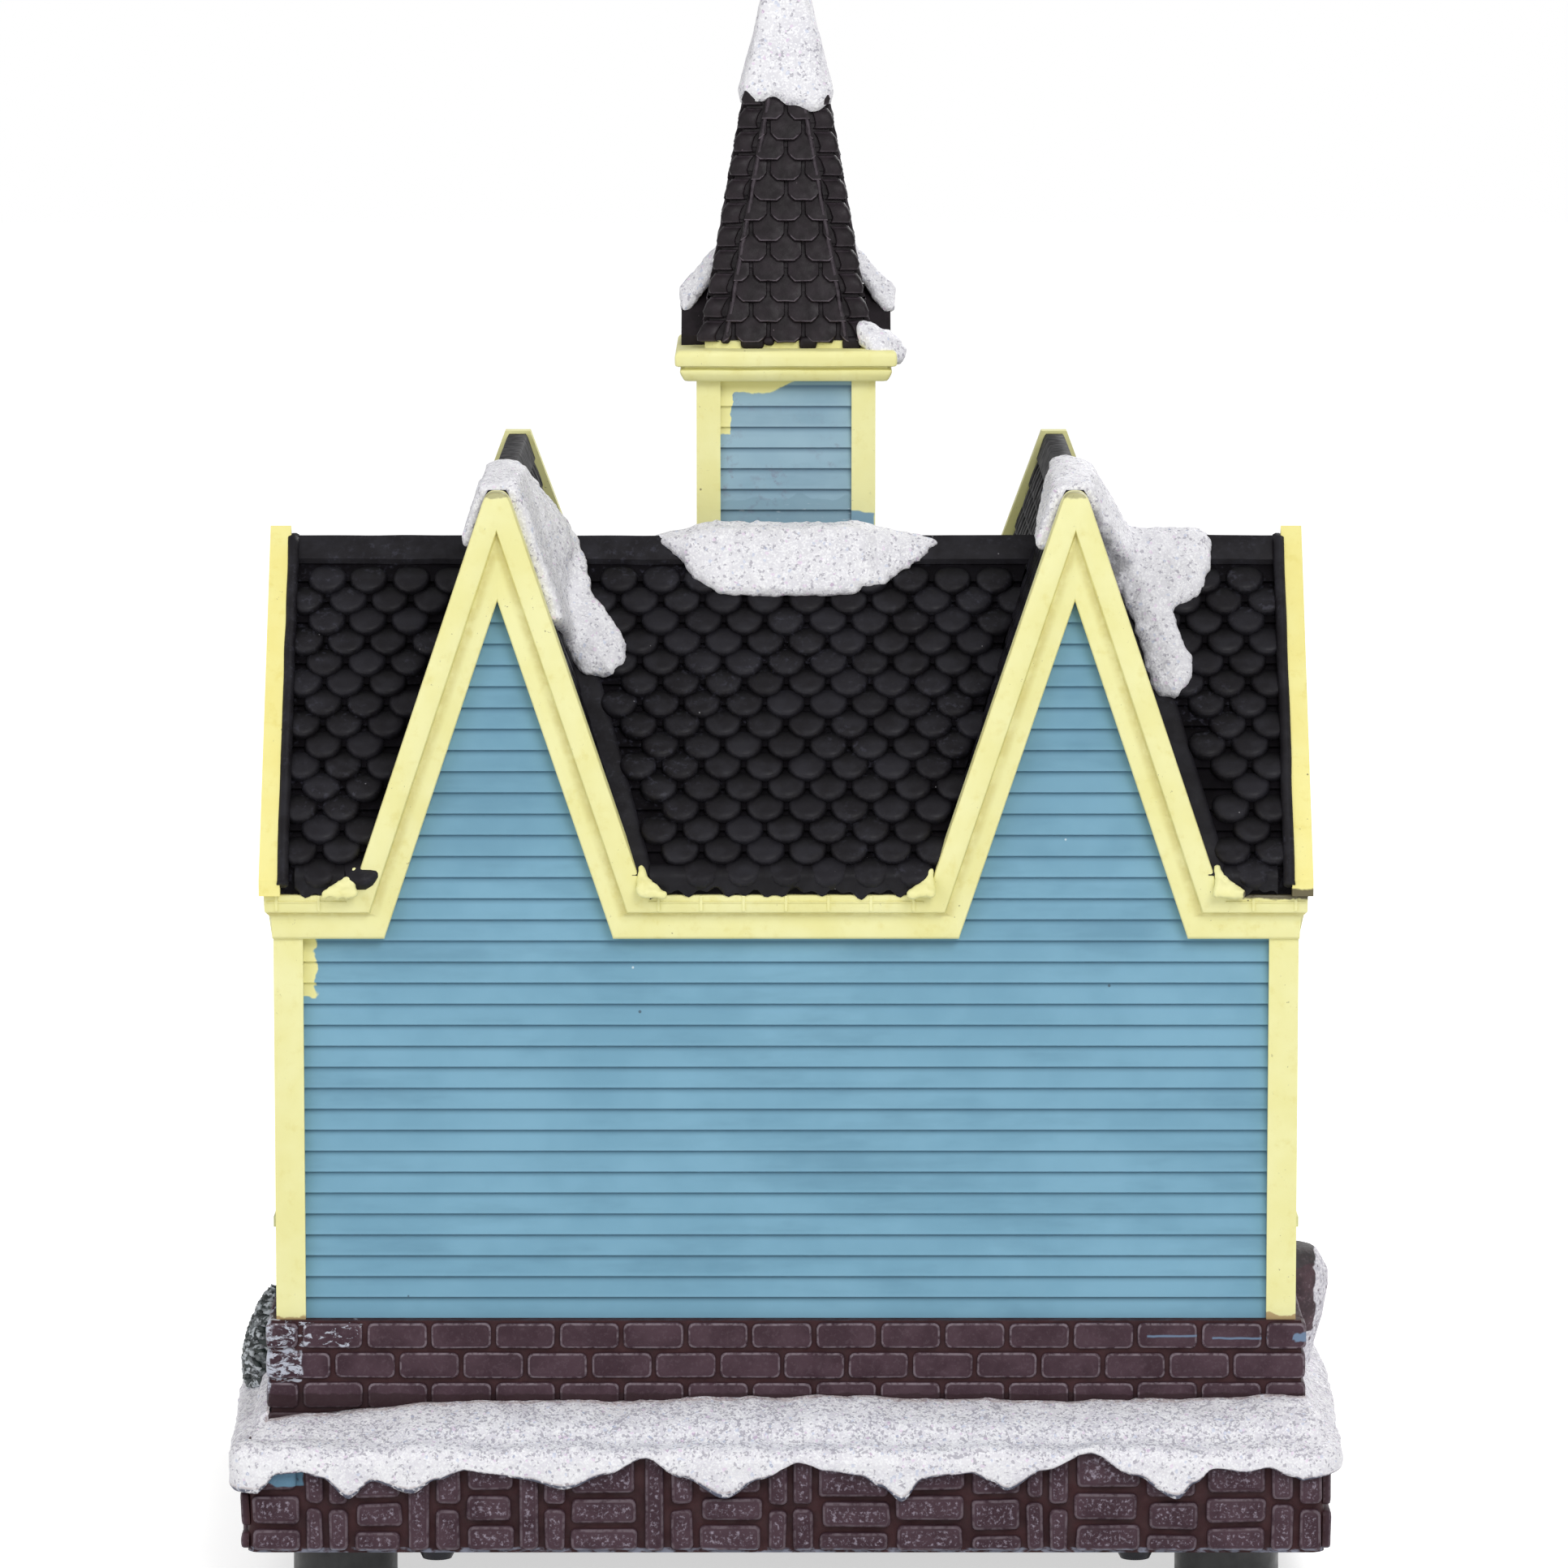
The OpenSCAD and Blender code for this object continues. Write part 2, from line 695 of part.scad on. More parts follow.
module battery_box() {
  color([0.12, 0.12, 0.13]) {
    difference() {
      block(
        -bay_l / 2 - box_t, bay_l / 2 + box_t, bay_y - bay_w / 2 - box_t, bay_y + bay_w / 2 + box_t,
        skirt_z + plate_t, box_top_z);
      block(-bay_l / 2, bay_l / 2, bay_y - bay_w / 2, bay_y + bay_w / 2, skirt_z, box_top_z - box_t);
    }
    for (side = [-1, 1]) {
      translate([side * board_l / 3, bay_y, box_top_z]) cylinder(d = post_d, h = post_h);
    }
  }
}

module battery_cover() {
  grip_count = 4;
  color([0.13, 0.13, 0.14]) translate([0, bay_y, 0]) {
    block(-cover_w / 2, cover_w / 2, -cover_l / 2, cover_l / 2, cover_top_z - cover_t, cover_top_z);
    for (k = [0 : grip_count - 1]) {
      translate([0, cover_l / 2 - cover_lap * (1.5 + k), cover_top_z - cover_t]) {
        cube([cover_w / 3, cover_lap / 3, rail_lip_t * 2], center = true);
      }
    }
  }
}

// Puts a thing in each place of the battery bay, turned end for end by turns
module in_each_place() {
  for (k = [0 : cell_count - 1]) {
    translate([0, bay_y + (k - (cell_count - 1) / 2) * cell_pitch, cell_z]) {
      rotate([0, 0, 180 * (k % 2)]) children();
    }
  }
}

module battery_cells() {
  color([0.2, 0.42, 0.3]) in_each_place() {
    translate([bay_l / 2 - contact_t - cell_l, 0, 0]) rotate([0, 90, 0]) {
      cylinder(d = cell_d, h = cell_l - nub_l);
      cylinder(d = nub_d, h = cell_l);
    }
  }
}

// Contact springs, each one tube wound in a cone
spring_turns = 3;
spring_steps = 8;
spring_wire = 0.7;
spring_r_wide = 4;
spring_r_narrow = 2.6;

module spring_tube() {
  count = spring_turns * spring_steps;
  rise = spring_l - spring_wire;
  centre = [for (i = [0 : count])
    let (a = 360 * i / spring_steps, r = spring_r_wide + (spring_r_narrow - spring_r_wide) * i / count)
    [spring_wire / 2 + rise * i / count, r * cos(a), r * sin(a)]];
  sides = 6;
  points = [for (i = [0 : count])
    let (a = 360 * i / spring_steps, out = [0, cos(a), sin(a)])
    each [for (k = [0 : sides - 1])
      let (b = 360 * k / sides)
      centre[i] + spring_wire / 2 * (out * cos(b) + [1, 0, 0] * sin(b))]];
  walls = [for (i = [0 : count - 1], k = [0 : sides - 1])
    let (k2 = (k + 1) % sides)
    each [
      [i * sides + k, i * sides + k2, (i + 1) * sides + k2],
      [i * sides + k, (i + 1) * sides + k2, (i + 1) * sides + k]]];
  ends = [
    [for (k = [sides - 1 : -1 : 0]) k],
    [for (k = [0 : sides - 1]) count * sides + k]];
  polyhedron(points = points, faces = concat(walls, ends));
}

module battery_springs() {
  color([0.8, 0.8, 0.82]) in_each_place() translate([-bay_l / 2 + contact_t, 0, 0]) spring_tube();
}

module contact_plates() {
  plate_w = cell_d * 0.7;
  color([0.8, 0.8, 0.82]) in_each_place() {
    for (x = [-bay_l / 2, bay_l / 2 - contact_t]) {
      translate([x, -plate_w / 2, -plate_w / 2]) cube([contact_t, plate_w, plate_w]);
    }
  }
}

module switch_body() {
  half_l = switch_body_l / 2;
  slide_l = slider_l / 2 + fit_gap;
  base_z = skirt_z + plate_t;
  color([0.16, 0.16, 0.17]) translate([switch_x + switch_travel / 2, switch_y, 0]) {
    difference() {
      block(-half_l, half_l, -switch_body_w / 2, switch_body_w / 2, base_z, base_z + switch_body_h);
      block(
        -slide_l - switch_travel / 2, slide_l + switch_travel / 2, -switch_body_w / 2 + switch_wall,
        switch_body_w / 2 - switch_wall, base_z - cut, base_z + switch_body_h - switch_wall);
    }
  }
}

module switch_slider() {
  base_z = skirt_z + plate_t;
  slide_w = switch_body_w - 2 * switch_wall - 2 * fit_gap;
  color([0.85, 0.85, 0.84]) translate([switch_x, switch_y, 0]) {
    block(
      -slider_l / 2, slider_l / 2, -slide_w / 2, slide_w / 2, base_z + fit_gap,
      base_z + fit_gap + slider_h);
    block(-knob_l / 2, knob_l / 2, -knob_w / 2, knob_w / 2, skirt_z - knob_out, base_z + fit_gap);
  }
}

module lamp_board() {
  color([0.1, 0.4, 0.22]) {
    block(-board_l / 2, board_l / 2, bay_y - board_w / 2, bay_y + board_w / 2, board_z, board_z + board_t);
  }
}

// A lamp with a round end, pointing up from the level 0
module lamp() {
  cylinder(d = lamp_rim_d, h = lamp_rim_h);
  cylinder(d = lamp_d, h = lamp_h - lamp_d / 2);
  translate([0, 0, lamp_h - lamp_d / 2]) sphere(d = lamp_d);
}

module hall_lamp() {
  color([1, 0.9, 0.62]) translate([0, bay_y, board_z + board_t]) lamp();
}

module tower_lamp() {
  color([1, 0.9, 0.62]) {
    translate([0, tower_y, tower_lamp_z + bracket_t]) lamp();
    block(
      -tower_w / 2 + tower_t, tower_w / 2 - tower_t, tower_y - lamp_rim_d / 2, tower_y + lamp_rim_d / 2,
      tower_lamp_z, tower_lamp_z + bracket_t);
  }
}

// A lead through a list of points, cut square at its ends
module lead(points) {
  for (i = [0 : len(points) - 2]) {
    run = points[i + 1] - points[i];
    translate(points[i]) {
      rotate([0, acos(run[2] / norm(run)), atan2(run[1], run[0])]) cylinder(d = lead_d, h = norm(run));
    }
    if (i > 0) translate(points[i]) sphere(d = lead_d * 1.15);
  }
}

module lamp_leads() {
  box_x = bay_l / 2 + box_t;
  switch_rear_y = switch_y + switch_body_w / 2;
  low_z = skirt_z + plate_t + switch_body_h / 2;
  turn_x = box_x + 3 * lead_d;
  lead_gap = 2 * lead_d;
  board_x = board_l / 2;
  color([0.75, 0.12, 0.1]) {
    lead([
      [box_x, bay_y - bay_w / 4, low_z],
      [turn_x, bay_y - bay_w / 4, low_z],
      [switch_x, switch_rear_y + lead_gap, low_z],
      [switch_x, switch_rear_y, low_z]]);
    lead([
      [switch_x + lead_gap, switch_rear_y, low_z],
      [switch_x + lead_gap, bay_y, low_z],
      [switch_x, bay_y, board_z + board_t / 2],
      [board_x, bay_y, board_z + board_t / 2]]);
    lead([
      [board_x - lead_gap, bay_y + board_w / 4, board_z + board_t],
      [board_x - lead_gap, bay_y + board_w / 4, board_z + lamp_h],
      [0, tower_y, eave_z - 2 * lead_gap],
      [0, tower_y, tower_lamp_z]]);
  }
}

/* Walls */

// Opening with a round head, standing on the level z
module arch(w, h, z) {
  rect(-w / 2, w / 2, z, z + h - w / 2);
  translate([0, z + h - w / 2]) circle(d = w);
}

// Outline of a gable up to its peak, drawn in by inset and standing on the eaves
module gable_outline(inset, z0, z1) {
  top = min(z1, apex_z - inset / gable_lean);
  polygon([
    [-gable_half(z0, inset), z0], [gable_half(z0, inset), z0],
    [gable_half(top, inset), top], [-gable_half(top, inset), top]]);
}

// Inner level of the flat peak of a gable roof
inner_peak_z = peak_z - gable_roof_t;

module gabled_wall(half_w, x, z0) {
  rect(x - half_w, x + half_w, z0, eave_z);
  translate([x, 0]) gable_outline(gable_roof_t, eave_z, inner_peak_z);
}

module rear_wall() {
  color([0.42, 0.63, 0.73]) intersection() {
    along_x(-side_x, side_x) siding_profile(rear_y, rear_y - wall_t, wall_z, inner_peak_z);
    along_y(rear_y - cut, rear_y + cut) {
      rect(-side_x, side_x, wall_z, eave_z);
      mirrored_x() gabled_wall(gable_half(eave_z, gable_roof_t), gable_x, wall_z);
    }
  }
}

module front_wall() {
  color([0.42, 0.63, 0.73]) intersection() {
    along_x(-side_x, side_x) siding_profile(front_y, front_y + wall_t, wall_z, eave_z);
    along_y(front_y - cut, front_y + cut) difference() {
      rect(-side_x, side_x, wall_z, eave_z);
      mirrored_x() rect(
        gable_x - wing_w / 2 + wall_t, gable_x + wing_w / 2 - wall_t, wall_z + wall_t * 2, eave_z - wall_t * 2);
      rect(-tower_w / 2 + tower_t, tower_w / 2 - tower_t, wall_z + wall_t * 2, eave_z - wall_t * 2);
    }
  }
}

window_ys = [ridge_y - body_d / 4.4, ridge_y + body_d / 4.4];

module side_wall() {
  intersection() {
    along_y(front_y + wall_t, rear_y - wall_t) {
      siding_profile(side_x, side_x - wall_t, wall_z, ridge_z);
    }
    along_x(side_x - cut, side_x + cut) difference() {
      polygon([
        [front_y, wall_z], [rear_y, wall_z], [rear_y, main_top(body_d / 2) - main_roof_t],
        [ridge_y, ridge_z - main_roof_t], [front_y, main_top(body_d / 2) - main_roof_t]]);
      for (y = window_ys) translate([y, 0]) arch(window_w, window_h, wall_z + sill_h);
      translate([ridge_y, eave_z + window_w]) circle(d = window_w);
    }
  }
}

module left_wall() {
  color([0.42, 0.63, 0.73]) mirror([1, 0, 0]) side_wall();
}

module right_wall() {
  color([0.42, 0.63, 0.73]) side_wall();
}

module wing() {
  half = wing_w / 2;
  difference() {
    union() {
      intersection() {
        along_x(-half, half) siding_profile(wing_y, wing_y + wall_t, wall_z, inner_peak_z);
        along_y(wing_y - cut, front_y) gabled_wall(half, 0, wall_z);
        along_y(wing_y - cut, front_y) siding_profile_pair(half);
      }
      for (side = [0, 1]) mirror([side, 0, 0]) {
        along_y(wing_y + siding_lap, front_y) siding_profile(half, half - wall_t, wall_z, eave_z);
      }
    }
    along_y(wing_y - cut, wing_y + cut / 10) {
      arch(window_w, window_h, wall_z + sill_h);
      translate([0, eave_z + window_w]) circle(d = window_w * 0.7);
    }
  }
}

// Both sides of a wing together, so that its front corners follow the siding of its sides
module siding_profile_pair(half) {
  siding_profile(half, 0, wall_z, eave_z);
  mirror([1, 0]) siding_profile(half, 0, wall_z, eave_z);
  gable_outline(gable_roof_t, eave_z, inner_peak_z);
}

module left_wing() {
  color([0.42, 0.63, 0.73]) translate([-gable_x, 0, 0]) wing();
}

module right_wing() {
  color([0.42, 0.63, 0.73]) translate([gable_x, 0, 0]) wing();
}

/* Trim */

// Outline of the trim of the rear wall: the frieze between the gables and the band round each
module rear_trim_outline(width, height, half) {
  difference() {
    union() {
      rect(-half, half, eave_z - height, eave_z);
      mirrored_x() translate([gable_x, 0]) gable_outline(0, eave_z - height, peak_z);
    }
    mirrored_x() translate([gable_x, 0]) gable_outline(width, eave_z - cut, apex_z);
  }
}

module rear_trim() {
  color([0.93, 0.92, 0.62]) {
    along_y(rear_y, rear_y + trim_t) {
      rear_trim_outline(gable_trim_w, frieze_h, side_x + corner_board_t + siding_lap / 2);
    }
    along_y(rear_y + trim_t, rear_y + trim_t + trim_raised_t) {
      rear_trim_outline(gable_raised_w, frieze_raised_h, side_x + trim_t + siding_lap);
    }
  }
}

// Frieze of the front wall of the hall, in the gaps beside the wings and the tower
module front_trim() {
  inner_x = tower_outer_w / 2;
  wing_in = gable_x - gable_half_w;
  wing_out = gable_x + gable_half_w;
  color([0.93, 0.92, 0.62]) mirrored_x() {
    block(inner_x, wing_in, front_y - trim_t, front_y, eave_z - frieze_h, eave_z);
    block(wing_out, side_x + corner_board_t + siding_lap / 2, front_y - trim_t, front_y,
      eave_z - frieze_h, eave_z);
    block(
      wing_out, side_x + trim_t + siding_lap, front_y - trim_t - trim_raised_t, front_y - trim_t,
      eave_z - frieze_raised_h, eave_z);
  }
}

// The front boards of a wing widen below the peak until they stand out beyond the roof
module barge_outline(foot_h) {
  knee_z = peak_z - barge_knee_h;
  for (side = [-1, 1]) polygon([
    [0, peak_z + barge_rise], [side * (gable_half(peak_z) + barge_rise), peak_z + barge_rise],
    [side * (gable_half(knee_z) + barge_out), knee_z], [side * (gable_half_w + barge_out), eave_z],
    [side * gable_half_w, eave_z], [side * gable_half_w, eave_z - foot_h], [0, eave_z - foot_h]]);
}

module wing_trim() {
  half = wing_w / 2;
  color([0.93, 0.92, 0.62]) {
    along_y(wing_y - trim_t, wing_y) {
      difference() {
        barge_outline(frieze_h);
        gable_outline(gable_trim_w, eave_z - cut, apex_z);
      }
    }
    along_y(wing_y - trim_t - trim_raised_t, wing_y - trim_t) {
      difference() {
        barge_outline(frieze_raised_h);
        gable_outline(gable_raised_w, eave_z - cut, apex_z);
      }
    }
    mirrored_x() block(half, gable_half_w, wing_y, front_y - trim_t - trim_raised_t, eave_z - frieze_h, eave_z);
  }
}

module left_wing_trim() {
  translate([-gable_x, 0, 0]) wing_trim();
}

module right_wing_trim() {
  translate([gable_x, 0, 0]) wing_trim();
}

module rake_boards() {
  color([0.93, 0.92, 0.62]) along_x(side_x, side_x + rake_t) difference() {
    top = ridge_z + rake_rise;
    foot = top - rake_run * main_slope;
    polygon([
      [ridge_y - rake_run, foot - rake_h], [ridge_y - rake_run, foot], [ridge_y, top],
      [ridge_y + rake_run, foot], [ridge_y + rake_run, foot - rake_h], [ridge_y, top - rake_h]]);
    rect(ridge_y - cut, ridge_y + cut, eave_z - cut, eave_z);
  }
}

module left_rake_boards() {
  mirror([1, 0, 0]) rake_boards();
}

module right_rake_boards() {
  rake_boards();
}

// Corner board with its corner at the origin and its legs on the faces toward -X and -Y
module corner_board(w, t, z0, z1) {
  upright(z0, z1) {
    rect(-w + t, t, 0, t);
    rect(0, t, -w + t, 0);
  }
}

module corner_boards() {
  top = eave_z - frieze_h;
  color([0.93, 0.92, 0.62]) {
    mirrored_x() {
      translate([side_x, rear_y, 0]) corner_board(corner_board_w, corner_board_t, wall_z, top);
      translate([side_x, front_y, 0]) mirror([0, 1, 0]) {
        corner_board(corner_board_w, corner_board_t, wall_z, top);
      }
      translate([gable_x, wing_y, 0]) mirrored_x() translate([wing_w / 2, 0, 0]) mirror([0, 1, 0]) {
        corner_board(corner_board_w, corner_board_t, wall_z, top);
      }
    }
  }
}

/* Roof */

// Stepped outline of the main roof, in Y and Z
function main_roof_points() =
  let (
    rear = slope_points(ridge_y, ridge_z, ridge_y + main_run, main_top(main_run)),
    front = slope_points(ridge_y, ridge_z, ridge_y - main_run, main_top(main_run)))
  concat(
    [[ridge_y, ridge_z]], rear, [[ridge_y + main_run, eave_z], [ridge_y, ridge_z - main_roof_t],
    [ridge_y - main_run, eave_z]], turned(front));

// Stepped outline of a gable roof, in X and Z
function gable_roof_points() =
  let (
    top_half = gable_half(peak_z),
    right = slope_points(top_half, peak_z, gable_half_w, eave_z),
    left = slope_points(-top_half, peak_z, -gable_half_w, eave_z),
    inner_half = gable_half(inner_peak_z, gable_roof_t))
  concat(
    [[-top_half, peak_z], [top_half, peak_z]], right,
    [[gable_half_w - gable_roof_t, eave_z], [inner_half, inner_peak_z], [-inner_half, inner_peak_z],
    [-gable_half_w + gable_roof_t, eave_z]], turned(left));

module main_roof() {
  color([0.09, 0.08, 0.09]) difference() {
    along_x(-side_x, side_x) polygon(main_roof_points());
    mirrored_x() translate([gable_x, 0, 0]) along_y(-base_d, base_d) gable_outline(0, eave_z - cut, peak_z);
    block(
      -tower_outer_w / 2, tower_outer_w / 2, tower_front_y - tower_board_t,
      tower_front_y + tower_w + tower_board_t, eave_z - cut, cornice_z);
  }
}

module gable_roof() {
  color([0.09, 0.08, 0.09]) translate([gable_x, 0, 0]) along_y(wing_y, rear_y) polygon(gable_roof_points());
}

module left_gable_roof() {
  mirror([1, 0, 0]) gable_roof();
}

module right_gable_roof() {
  gable_roof();
}

// Plain outside of all the roofs, raised by main_up and gable_up, for the snow that lies on them
module roof_space(main_up, gable_up) {
  along_x(-side_x, side_x) polygon([
    [ridge_y - main_run, eave_z - cut], [ridge_y - main_run, main_top(main_run) + main_up],
    [ridge_y, ridge_z + main_up], [ridge_y + main_run, main_top(main_run) + main_up],
    [ridge_y + main_run, eave_z - cut]]);
  mirrored_x() translate([gable_x, 0, 0]) along_y(wing_y, rear_y) {
    translate([0, gable_up]) gable_outline(0, eave_z - cut, peak_z);
  }
}

/* Steeple */

module tower_siding(z0, z1) {
  intersection() {
    along_x(-cut, cut) {
      siding_profile(tower_front_y + tower_w, tower_y, z0, z1);
      siding_profile(tower_front_y, tower_y, z0, z1);
    }
    along_y(tower_y - cut, tower_y + cut) mirrored_x() siding_profile(tower_w / 2, 0, z0, z1);
  }
}

module tower_walls() {
  inner = tower_w / 2 - tower_t;
  color([0.5, 0.67, 0.75]) difference() {
    intersection() {
      tower_siding(wall_z, cornice_z);
      union() {
        block(-tower_w, tower_w, tower_front_y - cut, tower_front_y + cut, eave_z, cornice_z);
        block(-tower_w, tower_w, tower_front_y - cut, front_y, wall_z, cornice_z);
      }
    }
    block(-inner, inner, tower_front_y + tower_t, tower_front_y + tower_w - tower_t,
      wall_z - cut, cornice_z + cut);
    along_y(tower_y - cut, tower_y) {
      arch(door_w, door_h, wall_z);
      translate([0, eave_z + louvre_h / 2]) circle(d = louvre_w);
      arch(louvre_w, louvre_h, louvre_z);
    }
    along_x(-cut, cut) translate([tower_y, 0]) arch(louvre_w, louvre_h, louvre_z);
  }
}

module tower_corner_boards() {
  color([0.93, 0.92, 0.62]) mirrored_x() {
    translate([tower_w / 2, tower_front_y + tower_w, 0]) {
      corner_board(tower_board_w, tower_board_t, eave_z, cornice_z);
    }
    translate([tower_w / 2, tower_front_y, 0]) mirror([0, 1, 0]) {
      corner_board(tower_board_w, tower_board_t, wall_z, cornice_z);
    }
  }
}

// Square block round the axis of the tower
module tower_square(half, z0, z1) {
  translate([0, tower_y, 0]) block(-half, half, -half, half, z0, z1);
}

module tower_cornice() {
  hole = spire_w / 2 - 2 * spire_t;
  color([0.93, 0.92, 0.62]) difference() {
    union() {
      tower_square(tower_w / 2 + crown_out, cornice_z, cornice_z + crown_h);
      tower_square(tower_w / 2 + cap_out, cornice_z + crown_h, strip_z);
      tower_square(spire_w / 2, strip_z, spire_z);
    }
    tower_square(hole, cornice_z - cut, spire_z + cut);
  }
}

// Half of the width of the spire at a level
function spire_half(z) = max((spire_top_z - z) * spire_lean, spire_tip_w / 2);

module square_cone(half0, half1, h) {
  rotate([0, 0, 45]) cylinder(r1 = half0 * sqrt(2), r2 = half1 * sqrt(2), h = h, $fn = 4);
}

module spire() {
  row = spire_h / spire_rows;
  color([0.11, 0.1, 0.11]) translate([0, tower_y, 0]) difference() {
    for (i = [0 : spire_rows - 1]) {
      z = spire_z + i * row;
      bite = i < spire_rows - 1 ? spire_bite : 0;
      translate([0, 0, z]) {
        square_cone(spire_half(z), max(spire_half(z + row) - spire_step / 2, spire_tip_w / 4), row + bite);
      }
    }
    translate([0, 0, spire_z]) {
      square_cone(spire_w / 2 - spire_t, spire_tip_w / 4, spire_h - spire_t / spire_lean);
    }
  }
}

// Space that the spire and its strip take up
module spire_space() {
  tower_square(spire_w / 2, strip_z - cut, spire_z);
  translate([0, tower_y, spire_z]) square_cone(spire_w / 2, spire_tip_w / 2, spire_h);
}

// A small gable that faces +X, from the axis of the tower outward
module gablet_body(up) {
  along_x(0, gablet_reach) polygon([
    [-gablet_w / 2, strip_z], [gablet_w / 2, strip_z], [gablet_w / 2, strip_z + gablet_h / 6 + up],
    [0, strip_z + gablet_h + up], [-gablet_w / 2, strip_z + gablet_h / 6 + up]]);
}

// Puts a thing on the left, the front and the right of the tower
module round_tower() {
  for (turn = [0, -90, 180]) translate([0, tower_y, 0]) rotate([0, 0, turn]) children();
}

module gablets() {
  color([0.11, 0.1, 0.11]) difference() {
    round_tower() gablet_body(0);
    spire_space();
  }
}

/* Windows and door */

// Puts a drawing that stands upright on each window wall, looking outward along +Y
module at_windows() {
  for (side = [-1, 1]) {
    for (y = window_ys) {
      translate([side * side_x, y, 0]) rotate([0, 0, -side * 90]) children();
    }
    translate([side * gable_x, wing_y, 0]) rotate([0, 0, 180]) children();
  }
}

module at_round_windows() {
  for (side = [-1, 1]) {
    translate([side * side_x, ridge_y, 0]) rotate([0, 0, -side * 90]) {
      $d = window_w;
      children();
    }
    translate([side * gable_x, wing_y, 0]) rotate([0, 0, 180]) {
      $d = window_w * 0.7;
      children();
    }
  }
}

module window_frames() {
  bar = frame_w / 2;
  sill = wall_z + sill_h;
  color([0.93, 0.92, 0.62]) {
    at_windows() {
      along_y(0, frame_t) difference() {
        arch(window_w + 2 * frame_w, window_h + 2 * frame_w, sill - frame_w);
        difference() {
          arch(window_w, window_h, sill);
          rect(-bar / 2, bar / 2, sill, sill + window_h);
          for (k = [1 : 2]) {
            rect(-window_w, window_w, sill + k * window_h / 3 - bar / 2, sill + k * window_h / 3 + bar / 2);
          }
        }
      }
      block(
        -window_w / 2 - 2 * frame_w, window_w / 2 + 2 * frame_w, 0, 2 * frame_t, sill - 2 * frame_w,
        sill - frame_w);
    }
    at_round_windows() along_y(0, frame_t) translate([0, eave_z + window_w]) difference() {
      circle(d = $d + 2 * frame_w);
      difference() {
        circle(d = $d);
        square([bar, $d * 2], center = true);
        square([$d * 2, bar], center = true);
      }
    }
  }
}

module window_panes() {
  sill = wall_z + sill_h;
  color([1, 0.85, 0.45]) {
    at_windows() along_y(-wall_t, -siding_lap) arch(window_w, window_h, sill);
    at_round_windows() along_y(-wall_t, -siding_lap) translate([0, eave_z + window_w]) circle(d = $d);
  }
}

// Slatted windows of the tower, on all sides but the rear
module tower_louvres() {
  slats = 5;
  color([0.93, 0.92, 0.62]) {
    round_tower() rotate([0, 0, -90]) translate([0, tower_w / 2, 0]) {
      along_y(-tower_t, -siding_lap) arch(louvre_w, louvre_h, louvre_z);
      along_y(-siding_lap, 0) {
        for (k = [0 : slats - 1]) {
          z = louvre_z + (k + 1) * (louvre_h - louvre_w / 2) / (slats + 1);
          rect(-louvre_w / 2, louvre_w / 2, z - slat_h / 2, z + slat_h / 2);
        }
      }
      along_y(0, tower_board_t) difference() {
        arch(louvre_w + 2 * frame_w, louvre_h + 2 * frame_w, louvre_z - frame_w);
        arch(louvre_w, louvre_h, louvre_z);
      }
    }
    translate([0, tower_front_y, eave_z + louvre_h / 2]) rotate([90, 0, 0]) {
      translate([0, 0, -tower_t]) cylinder(d = louvre_w, h = tower_t - siding_lap);
      difference() {
        cylinder(d = louvre_w + 2 * frame_w, h = frame_t);
        cylinder(d = louvre_w, h = cut, center = true);
      }
    }
  }
}

module door_frame() {
  color([0.93, 0.92, 0.62]) along_y(tower_front_y - frame_t, tower_front_y) difference() {
    arch(door_w + 2 * frame_w, door_h + frame_w, wall_z);
    arch(door_w, door_h, wall_z - door_w);
    arch(door_w, door_h, wall_z);
  }
}

module front_door() {
  panel_w = door_w / 3;
  panel_h = door_h / 4;
  color([0.45, 0.13, 0.12]) {
    along_y(tower_front_y + siding_lap, tower_front_y + tower_t) arch(door_w, door_h, wall_z);
    along_y(tower_front_y, tower_front_y + siding_lap) {
      for (side = [-1, 1], level = [0, 1]) {
        translate([side * door_w / 4, wall_z + panel_h * (0.7 + level * 1.3)]) {
          square([panel_w, panel_h], center = true);
        }
      }
    }
    translate([door_w / 2 - frame_w, tower_front_y + siding_lap, wall_z + door_h * 0.42]) {
      rotate([90, 0, 0]) cylinder(d = frame_w / 2, h = frame_w);
    }
  }
}

wreath_d = 6.4;
wreath_t = 1.7;

module door_wreath() {
  wreath_y = tower_front_y + siding_lap - wreath_t / 2;
  color([0.1, 0.33, 0.14]) translate([0, wreath_y, wall_z + door_h * 0.74]) {
    rotate([90, 0, 0]) rotate_extrude() translate([(wreath_d - wreath_t) / 2, 0]) circle(d = wreath_t);
  }
}

// Steps up to the front door
step_count = 3;
step_w = door_w + 4 * frame_w;
step_h = (plinth_h - snow_bank_h / 2) / (step_count + 1);
step_d = 3.6;
steps_rear_y = tower_front_y - plinth_out;
steps_front_y = steps_rear_y - step_count * step_d;

module front_steps() {
  color([0.55, 0.53, 0.52]) {
    for (k = [0 : step_count - 1]) {
      block(
        -step_w / 2, step_w / 2, steps_rear_y - (k + 1) * step_d, steps_rear_y, deck_z,
        wall_z - (k + 1) * step_h);
    }
  }
}

/* Snow on the roofs, and the garden */

// Snow that lies on the roofs inside an outline drawn in X and Z, between two Y places
module roof_snow(y0, y1) {
  color([0.93, 0.93, 0.95]) difference() {
    intersection() {
      roof_space(roof_snow_t, gable_snow_t);
      along_y(y0, y1) children();
    }
    roof_space(0, 0);
    tower_square(tower_outer_w / 2, eave_z, cornice_z);
  }
}

